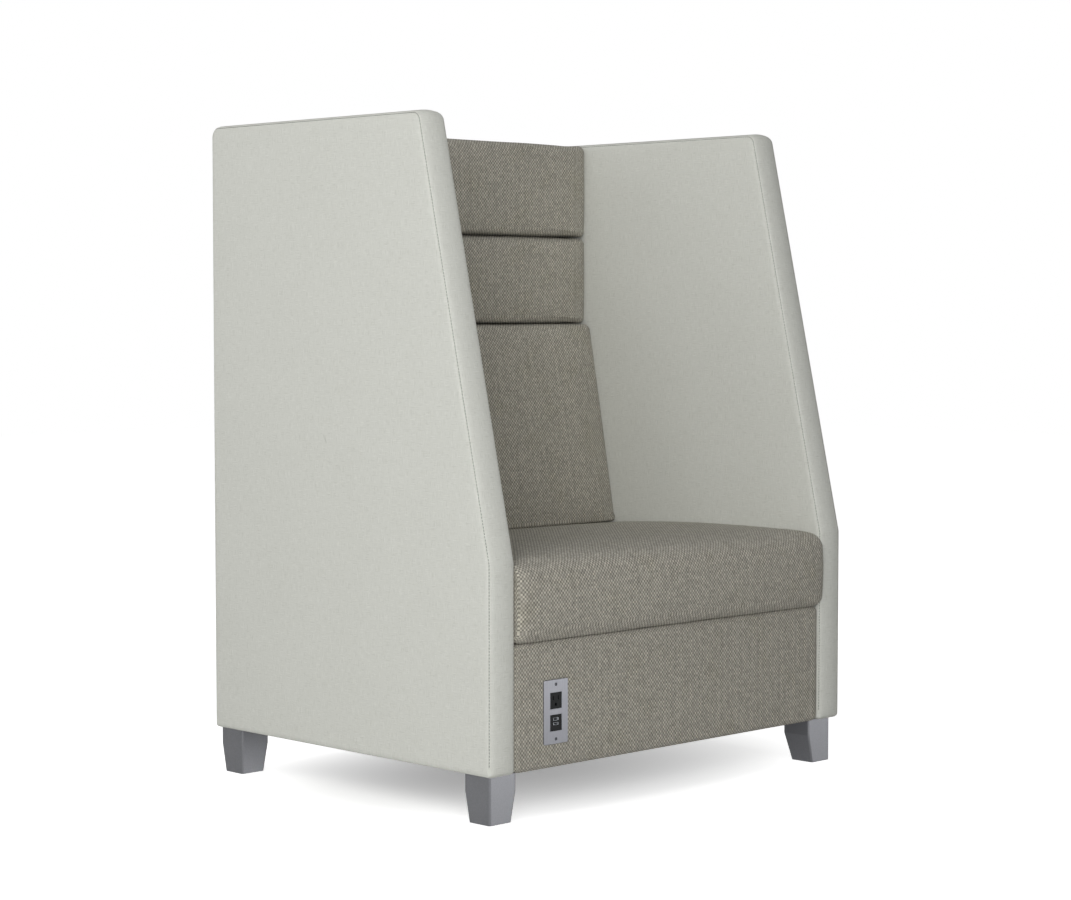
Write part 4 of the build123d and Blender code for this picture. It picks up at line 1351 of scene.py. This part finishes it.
@dataclass
class RailFacing:
    """The front rail's facing: cloth pulled over a padded board, cut out for the power unit.

    Attributes:
        edge_reach: rounding of the facing's front edges, along X, Y and Z.
        spacing: the widest step of its grid.
        hole_margin: how much wider the opening is than the power unit's box.
        crown: how far the padding stands proud in the middle.
        cloth_thickness: thickness of the cloth.
    """

    edge_reach: tuple[float, float, float] = (0.016, 0.008, 0.011)
    spacing: float = 0.014
    hole_margin: float = 0.001
    crown: float = 0.0012
    cloth_thickness: float = 0.0013

    def build(self) -> None:
        """Makes the front with its opening, and the four edges that are wrapped back."""
        low, high = (np.array(corner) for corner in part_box("front_rail_cover"))
        wrap = Wrapped(low, high, np.array(self.edge_reach), self.spacing, open_high=(1,))
        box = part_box("power_box")
        hole = [(box[0][k] - self.hole_margin, box[1][k] + self.hole_margin) for k in (0, 2)]
        front = wrap.crowned(wrap.side(1, low[1], lambda x, z: (x, z), hole), -self.crown)
        middle = (front.cloth[:-1, :-1] + front.cloth[1:, 1:]) / 2
        inside = [(middle[..., k] > hole[k][0]) & (middle[..., k] < hole[k][1]) for k in (0, 1)]
        patches = [Patch(front.points, front.cloth, ~(inside[0] & inside[1]))]
        for (x, _, z), out in ((low, -1), (high, 1)):
            patches += [
                wrap.side(0, x, lambda y, up: (x + out * (y - low[1]), up), ((), hole[1])),
                wrap.side(2, z, lambda across, y: (across, z + out * (y - low[1])), (hole[0], ())),
            ]
        facing = sewn("front_rail_facing", patches, BASKET_CLOTH)
        thicken(facing, self.cloth_thickness)
        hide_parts("front_rail_cover")


@dataclass
class OuterBack:
    """The outer back: panel cloth over a board, drawn over the top edge as a cap.

    Attributes:
        radius: rounding of its edges.
        spacing: the widest step of its grids.
        crown: how far the cloth stands proud in the middle.
        lip: how far the cap is turned down in front of the back frame.
        lip_gap: how far the lip stands ahead of the frame.
        cloth_thickness: thickness of the cloth.
    """

    radius: float = 0.004
    spacing: float = 0.02
    crown: float = 0.0015
    lip: float = 0.025
    lip_gap: float = 0.0008
    cloth_thickness: float = 0.0013

    def build(self) -> None:
        """Makes the rear face, the cap with its front lip, the two sides and the hem below."""
        low, high = (np.array(corner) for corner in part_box("outer_back_cover"))
        lip_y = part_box("back_frame")[0].y - self.lip_gap
        lip_low = np.array([low[0], lip_y, high[2] - self.lip])
        hem_low = np.array([low[0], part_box("outer_back_board")[0].y, low[2]])
        shape = {"high": high, "radii": np.full(3, self.radius), "spacing": self.spacing}
        cap = Wrapped(np.array([low[0], lip_y, low[2]]), **shape)
        lip = Wrapped(lip_low, open_low=(2,), **shape)
        hem = Wrapped(hem_low, open_low=(1,), **shape)
        over = high[2] + high[1]
        patches = [
            hem.crowned(hem.side(1, high[1], lambda x, z: (x, z)), self.crown),
            cap.side(2, high[2], lambda x, y: (x, over - y)),
            lip.side(1, lip_y, lambda x, z: (x, over - lip_y + high[2] - z)),
            hem.side(2, low[2], lambda x, y: (x, low[2] - high[1] + y)),
        ]
        for at in (low[0], high[0]):
            patches.append(hem.side(0, at, lambda y, z: (at + high[1] - y, z)))
        cover = sewn("outer_back_cloth", patches, PANEL_CLOTH)
        thicken(cover, self.cloth_thickness)
        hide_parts("outer_back_cover")


@dataclass
class DustCover:
    """The dust cover: thin cloth, hemmed and stapled under the seat frame, slightly slack.

    Attributes:
        sag: how far it hangs down in the middle.
        hem: width of the folded edge.
        lines: how many grid lines lie between the hems, each way.
        thickness: thickness of one layer, drawn thicker than the real 0.2 mm.
        staple_pitch: distance between staples.
        staple: length, width and height of a staple's crown.
    """

    sag: float = 0.003
    hem: float = 0.016
    lines: int = 31
    thickness: float = 0.0004
    staple_pitch: float = 0.05
    staple: tuple[float, float, float] = (0.011, 0.0012, 0.0007)

    def build(self) -> None:
        """Stretches the sheet, flat along its hem, and drives the staples.

        The sag is a parabola in X times one in Y, inside the hem.
        """
        low, high = (np.array(corner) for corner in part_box("dust_cover"))
        place = np.stack(np.meshgrid(*map(self.spaced, low[:2], high[:2]), indexing="ij"), -1)
        middle, half = (low + high) / 2, (high - low) / 2 - self.hem
        share = np.clip(1 - ((place - middle[:2]) / half[:2]) ** 2, 0, 1).prod(-1, keepdims=True)
        height = high[2] - 2 * self.thickness - self.sag * share
        sheet = Patch(np.concatenate([place, height], -1), place)
        cover = sewn("dust_cover_cloth", [sheet], DUST_CLOTH)
        thicken(cover, self.thickness)
        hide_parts("dust_cover")
        self.drive_staples(low, high)

    def spaced(self, start: float, end: float) -> np.ndarray:
        """Grid lines from start to end, with one along each hem."""
        inside = np.linspace(start + self.hem, end - self.hem, self.lines)
        return np.concatenate([[start], inside, [end]])

    def drive_staples(self, low: np.ndarray, high: np.ndarray) -> None:
        """Sets a staple every pitch, half a hem in from each edge.

        Args:
            low: the sheet's lowest corner.
            high: its highest corner.
        """
        start, end = low[:2] + self.hem / 2, high[:2] - self.hem / 2
        height = high[2] - 3 * self.thickness
        centres, axes = [], []
        for axis in (0, 1):
            other = 1 - axis
            count = int((end[axis] - start[axis]) / self.staple_pitch)
            run = np.linspace(start[axis], end[axis], count + 1)[1:-1]
            for side in (start[other], end[other]):
                row = np.full((len(run), 3), height)
                row[:, axis], row[:, other] = run, side
                centres.append(row)
                turned = np.eye(3)[[axis, other, 2]]
                axes.append(np.repeat(turned[None], len(run), 0))
        scattered("dust_cover_staples", box_patch(self.staple), centres, axes, ZINC_STEEL)


def box_patch(size: tuple[float, float, float]) -> Patch:
    """A small bar with flat ends: a tube of four sides, closed by a point at each end.

    Args:
        size: along X, Y and Z.

    Returns:
        The bar about the origin.
    """
    length, width, height = (side / 2 for side in size)
    signs = np.array([(-1, -1), (1, -1), (1, 1), (-1, 1), (-1, -1)])
    ring = signs * [width, height]
    rows = [(-length, 0.0), (-length, 1.0), (length, 1.0), (length, 0.0)]
    points = np.array([[(x, y * share, z * share) for y, z in ring] for x, share in rows])
    return Patch(points, points[..., :2].copy())


# ---- Power unit ------------------------------------------------------------------------
@dataclass
class PowerTrim:
    """Small trim of the power unit: bright port shells.

    Attributes:
        port: width and height of a port's opening.
        port_pitch: distance between the two ports.
        port_rise: how far the ports' middle lies over the module's.
        shell: wall of a port's metal shell.
        proud: how far a shell stands out of the module's face.
        shell_depth: how far it reaches into the module.
        recess: how far the module's face lies behind the plate's.
        overlap: how far the shell is let into the opening's wall.
        corner: rounding of its corners.
    """

    port: tuple[float, float] = (0.0125, 0.0051)
    port_pitch: float = 0.0086
    port_rise: float = 0.0025
    shell: float = 0.0005
    proud: float = 0.0003
    shell_depth: float = 0.0100
    recess: float = 0.0004
    overlap: float = 0.00005
    corner: float = 0.0006

    def build(self) -> None:
        """Makes the shells as loops of one profile: out of the face, over its rim, and in."""
        module_low, module_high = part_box("usb_module")
        plate_low, plate_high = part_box("power_faceplate")
        face_y = plate_low.y + self.recess
        middle_x = (plate_low.x + plate_high.x) / 2
        middle_z = (module_low.z + module_high.z) / 2 + self.port_rise
        patches = []
        for offset in (-self.port_pitch / 2, self.port_pitch / 2):
            half = np.array(self.port) / 2
            corners = half * [(-1, -1), (1, -1), (1, 1), (-1, 1)]
            outline = rounded_loop(corners, [self.corner] * 4, half[0])
            loop = outline.points + [middle_x, middle_z + offset]
            inner, outer = self.overlap - self.shell, -self.overlap
            profile = [
                (outer, self.shell_depth), (outer, -self.proud), (inner, -self.proud),
                (inner, self.shell_depth), (outer, self.shell_depth),
            ]
            rows = []
            for reach, depth in profile:
                flat = loop + outline.normals * reach
                rows.append(np.stack([flat[:, 0], np.full(len(flat), face_y + depth), flat[:, 1]], -1))
            points = np.array(rows)
            patches.append(Patch(points, points[..., [0, 2]]))
        sewn("usb_port_shells", patches, ZINC_STEEL)


# ---- Stage -----------------------------------------------------------------------------
CHAIR_MIDDLE = (0.0, 0.0, 0.6)


class Reach(Enum):
    """What a light acts on: everything, matt surfaces alone, or glints in shiny ones alone."""

    ALL = (True, True)
    MATT = (True, False)
    GLINTS = (False, True)


@dataclass(frozen=True)
class SoftLight:
    """A soft box: where it stands, where it aims, its size, its power and what it acts on."""

    name: str
    place: tuple[float, float, float]
    aim: tuple[float, float, float]
    size: tuple[float, float]
    power: float
    reach: Reach = Reach.ALL

    def build(self) -> None:
        """Hangs the light."""
        lamp = bpy.data.lights.new(self.name, "AREA")
        lamp.shape = "RECTANGLE"
        lamp.size, lamp.size_y = self.size
        lamp.energy = self.power
        holder = bpy.data.objects.new(self.name, lamp)
        holder.location = self.place
        way = Vector(self.aim) - Vector(self.place)
        holder.rotation_euler = way.to_track_quat("-Z", "Y").to_euler()
        holder.visible_diffuse, holder.visible_glossy = self.reach.value
        bpy.context.scene.collection.objects.link(holder)


def seen_share(tree: Tree, mirrored: float) -> tuple[Socket, Socket]:
    """What the camera sees, by itself and through glass, and a share of what is mirrored."""
    path = add(tree, "LightPath").outputs
    seen = calc(tree, "MAXIMUM", path["Is Camera Ray"], path["Is Transmission Ray"])
    return seen, calc(tree, "MULTIPLY", path["Is Glossy Ray"], mirrored)


@dataclass(frozen=True)
class FloorPaint(Finish):
    """White studio vinyl: it keeps the chair's shadow, deepened by a painted shadow in its glow, and
    melts into the background.

    Attributes:
        colour: of the vinyl itself.
        glow: how strongly it glows to the camera in the middle of the chair's shadow, where it is
            weakest: a painted shadow.
        middle: the shadow's middle, where the painted shadow is darkest.
        rise: how fast the glow rises from there, along X and Y.
        mirrored: the glow in reflections.
    """

    colour: str = "#E8E8E7"
    glow: float = 0.344
    middle: tuple[float, float, float] = (-0.079, -0.022, 0.0)
    rise: tuple[float, float, float] = (1.11, 1.68, 0.0)
    mirrored: float = 0.25

    def dress(self, tree: Tree, shader: bpy.types.Node) -> None:
        """Adds a glow for the camera, and an even one for reflections.

        The camera's has the strength of the glow in the middle, plus the square of the
        distance from there after a stretch by the rise, up to full white; that dip round the chair is a
        painted shadow.

        Args:
            tree: the material's tree.
            shader: its surface shader.
        """
        shader.inputs["Base Color"].default_value = linear(self.colour)
        shader.inputs["Roughness"].default_value = 0.9
        shader.inputs["Specular IOR Level"].default_value = 0.0
        place = add(tree, "TexCoord").outputs["Object"]
        away = add(tree, "VectorMath", {0: place, 1: self.middle}, operation="SUBTRACT").outputs[0]
        away = add(tree, "VectorMath", {0: away, 1: self.rise}, operation="MULTIPLY").outputs[0]
        square = add(tree, "VectorMath", {0: away, 1: away}, operation="DOT_PRODUCT").outputs["Value"]
        # The glow is weakest under the chair and rises outwards: a painted shadow on the floor.
        strength = calc(tree, "MINIMUM", calc(tree, "ADD", square, self.glow), 1.0)
        seen, mirrored = seen_share(tree, self.mirrored)
        power = calc(tree, "MAXIMUM", calc(tree, "MULTIPLY", seen, strength), mirrored)
        glow = add(tree, "Emission", {"Color": (1.0, 1.0, 1.0, 1.0), "Strength": power})
        lit = add(tree, "AddShader", {0: shader.outputs[0], 1: glow.outputs[0]})
        output = next(n for n in tree.nodes if n.type == "OUTPUT_MATERIAL")
        tree.links.new(lit.outputs[0], output.inputs["Surface"])


@dataclass
class Studio:
    """Floor, background, lights and camera.

    Attributes:
        lights: the soft lights; those that would blot the legs' left faces are for matt
            surfaces alone, and a low strip is for glints alone.
        floor_side: how wide the floor is.
        ambient: strength of the background as a light.
        mirrored: how much of its white shows in reflections.
        camera_place: where the camera stands.
        camera_turn: its pitch, roll and yaw, in radians.
        focal_length: in millimetres, on a sensor 36 mm wide.
    """

    lights: tuple[SoftLight, ...] = (
        SoftLight("softbox_front_left", (-4.5, -4.5, 2.0), CHAIR_MIDDLE, (3.0, 3.0), 121.0),
        SoftLight("softbox_left", (-5.2, -3.0, 2.6), CHAIR_MIDDLE, (3.0, 3.0), 77.0, Reach.MATT),
        SoftLight("softbox_left_high", (-4.5, 0.0, 4.5), CHAIR_MIDDLE, (4.0, 4.0), 72.0, Reach.MATT),
        SoftLight("rim_back_left", (-3.0, 3.0, 2.5), CHAIR_MIDDLE, (2.5, 2.5), 26.0, Reach.MATT),
        SoftLight("softbox_overhead", (0.0, -0.3, 4.0), (0.0, 0.0, 0.0), (3.0, 3.0), 22.0),
        SoftLight("fill_front_left", (-1.7, -2.8, 1.3), (-0.1, 0.0, 0.6), (1.2, 1.4), 10.0),
        SoftLight("fill_front_low", (-0.4, -4.0, 0.8), (0.0, 0.0, 0.4), (2.5, 1.2), 9.0),
        SoftLight(
            "strip_front_right", (2.8, -4.2, 0.40), (0.0, 0.0, 0.1), (3.0, 0.75), 88.0, Reach.GLINTS
        ),
    )
    floor_side: float = 24.0
    ambient: float = 0.02
    mirrored: float = 0.15
    camera_place: tuple[float, float, float] = (-3.50987, -3.56899, 0.91471)
    camera_turn: tuple[float, float, float] = (math.pi / 2 - 0.0558, 0.0, -0.7778)
    focal_length: float = 84.58

    def build(self) -> None:
        """Sets up the studio."""
        self.lay_floor()
        self.light_background()
        for light in self.lights:
            light.build()
        self.place_camera()
        bpy.context.scene.view_settings.view_transform = "Standard"

    def lay_floor(self) -> None:
        """A wide square at floor level."""
        half = self.floor_side / 2
        corners = [(-half, -half, 0), (half, -half, 0), (half, half, 0), (-half, half, 0)]
        mesh = bpy.data.meshes.new("studio_floor")
        mesh.from_pydata(corners, [], [(0, 1, 2, 3)])
        mesh.materials.append(FloorPaint("white_studio_vinyl", "floor").material())
        floor = bpy.data.objects.new("studio_floor", mesh)
        bpy.context.scene.collection.objects.link(floor)

    def light_background(self) -> None:
        """White to the camera, faintly so in reflections, and a dim even light elsewhere."""
        world = bpy.data.worlds.new("studio")
        world.use_nodes = True
        tree = world.node_tree
        tree.nodes.clear()
        dim = add(tree, "Background", {"Color": (1.0, 1.0, 1.0, 1.0), "Strength": self.ambient})
        white = add(tree, "Background", {"Color": (1.0, 1.0, 1.0, 1.0), "Strength": 1.0})
        seen = calc(tree, "MAXIMUM", *seen_share(tree, self.mirrored))
        mix = add(tree, "MixShader", {0: seen, 1: dim.outputs[0], 2: white.outputs[0]})
        add(tree, "OutputWorld", {0: mix.outputs[0]})
        bpy.context.scene.world = world

    def place_camera(self) -> None:
        """A long lens from the chair's left front, a little lower than the panels' tops."""
        lens = bpy.data.cameras.new("camera")
        lens.lens = self.focal_length
        lens.sensor_width = 36.0
        camera = bpy.data.objects.new("camera", lens)
        camera.location = self.camera_place
        camera.rotation_euler = Euler(self.camera_turn)
        bpy.context.scene.collection.objects.link(camera)
        bpy.context.scene.camera = camera


def dress_frame() -> None:
    """Gives each CAD node that stays its finish."""
    for finish, nodes in CAD_FINISHES.items():
        for name in nodes:
            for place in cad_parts[name].material_slots:
                place.material = finish.material()


def main() -> None:
    """Builds every part of the chair and the stage, in order."""
    logging.basicConfig(level=logging.INFO, format="%(name)s: %(message)s")
    Studio().build()
    dress_frame()
    for side in Side:
        SidePanel(side).build()
    SeatCushion("seat_cushion_cover", "seat_cushion").build()
    BackCushion("upper_back_cushion_cover", "upper_back_cushion").build()
    BackCushion("middle_back_cushion_cover", "middle_back_cushion").build()
    BackCushion(
        "lower_back_cushion_cover", "lower_back_cushion", lean=0.079, foot_radius=0.006, face_foot=0.172
    ).build()
    RailFacing().build()
    OuterBack().build()
    DustCover().build()
    PowerTrim().build()


if __name__ == "__main__":
    main()
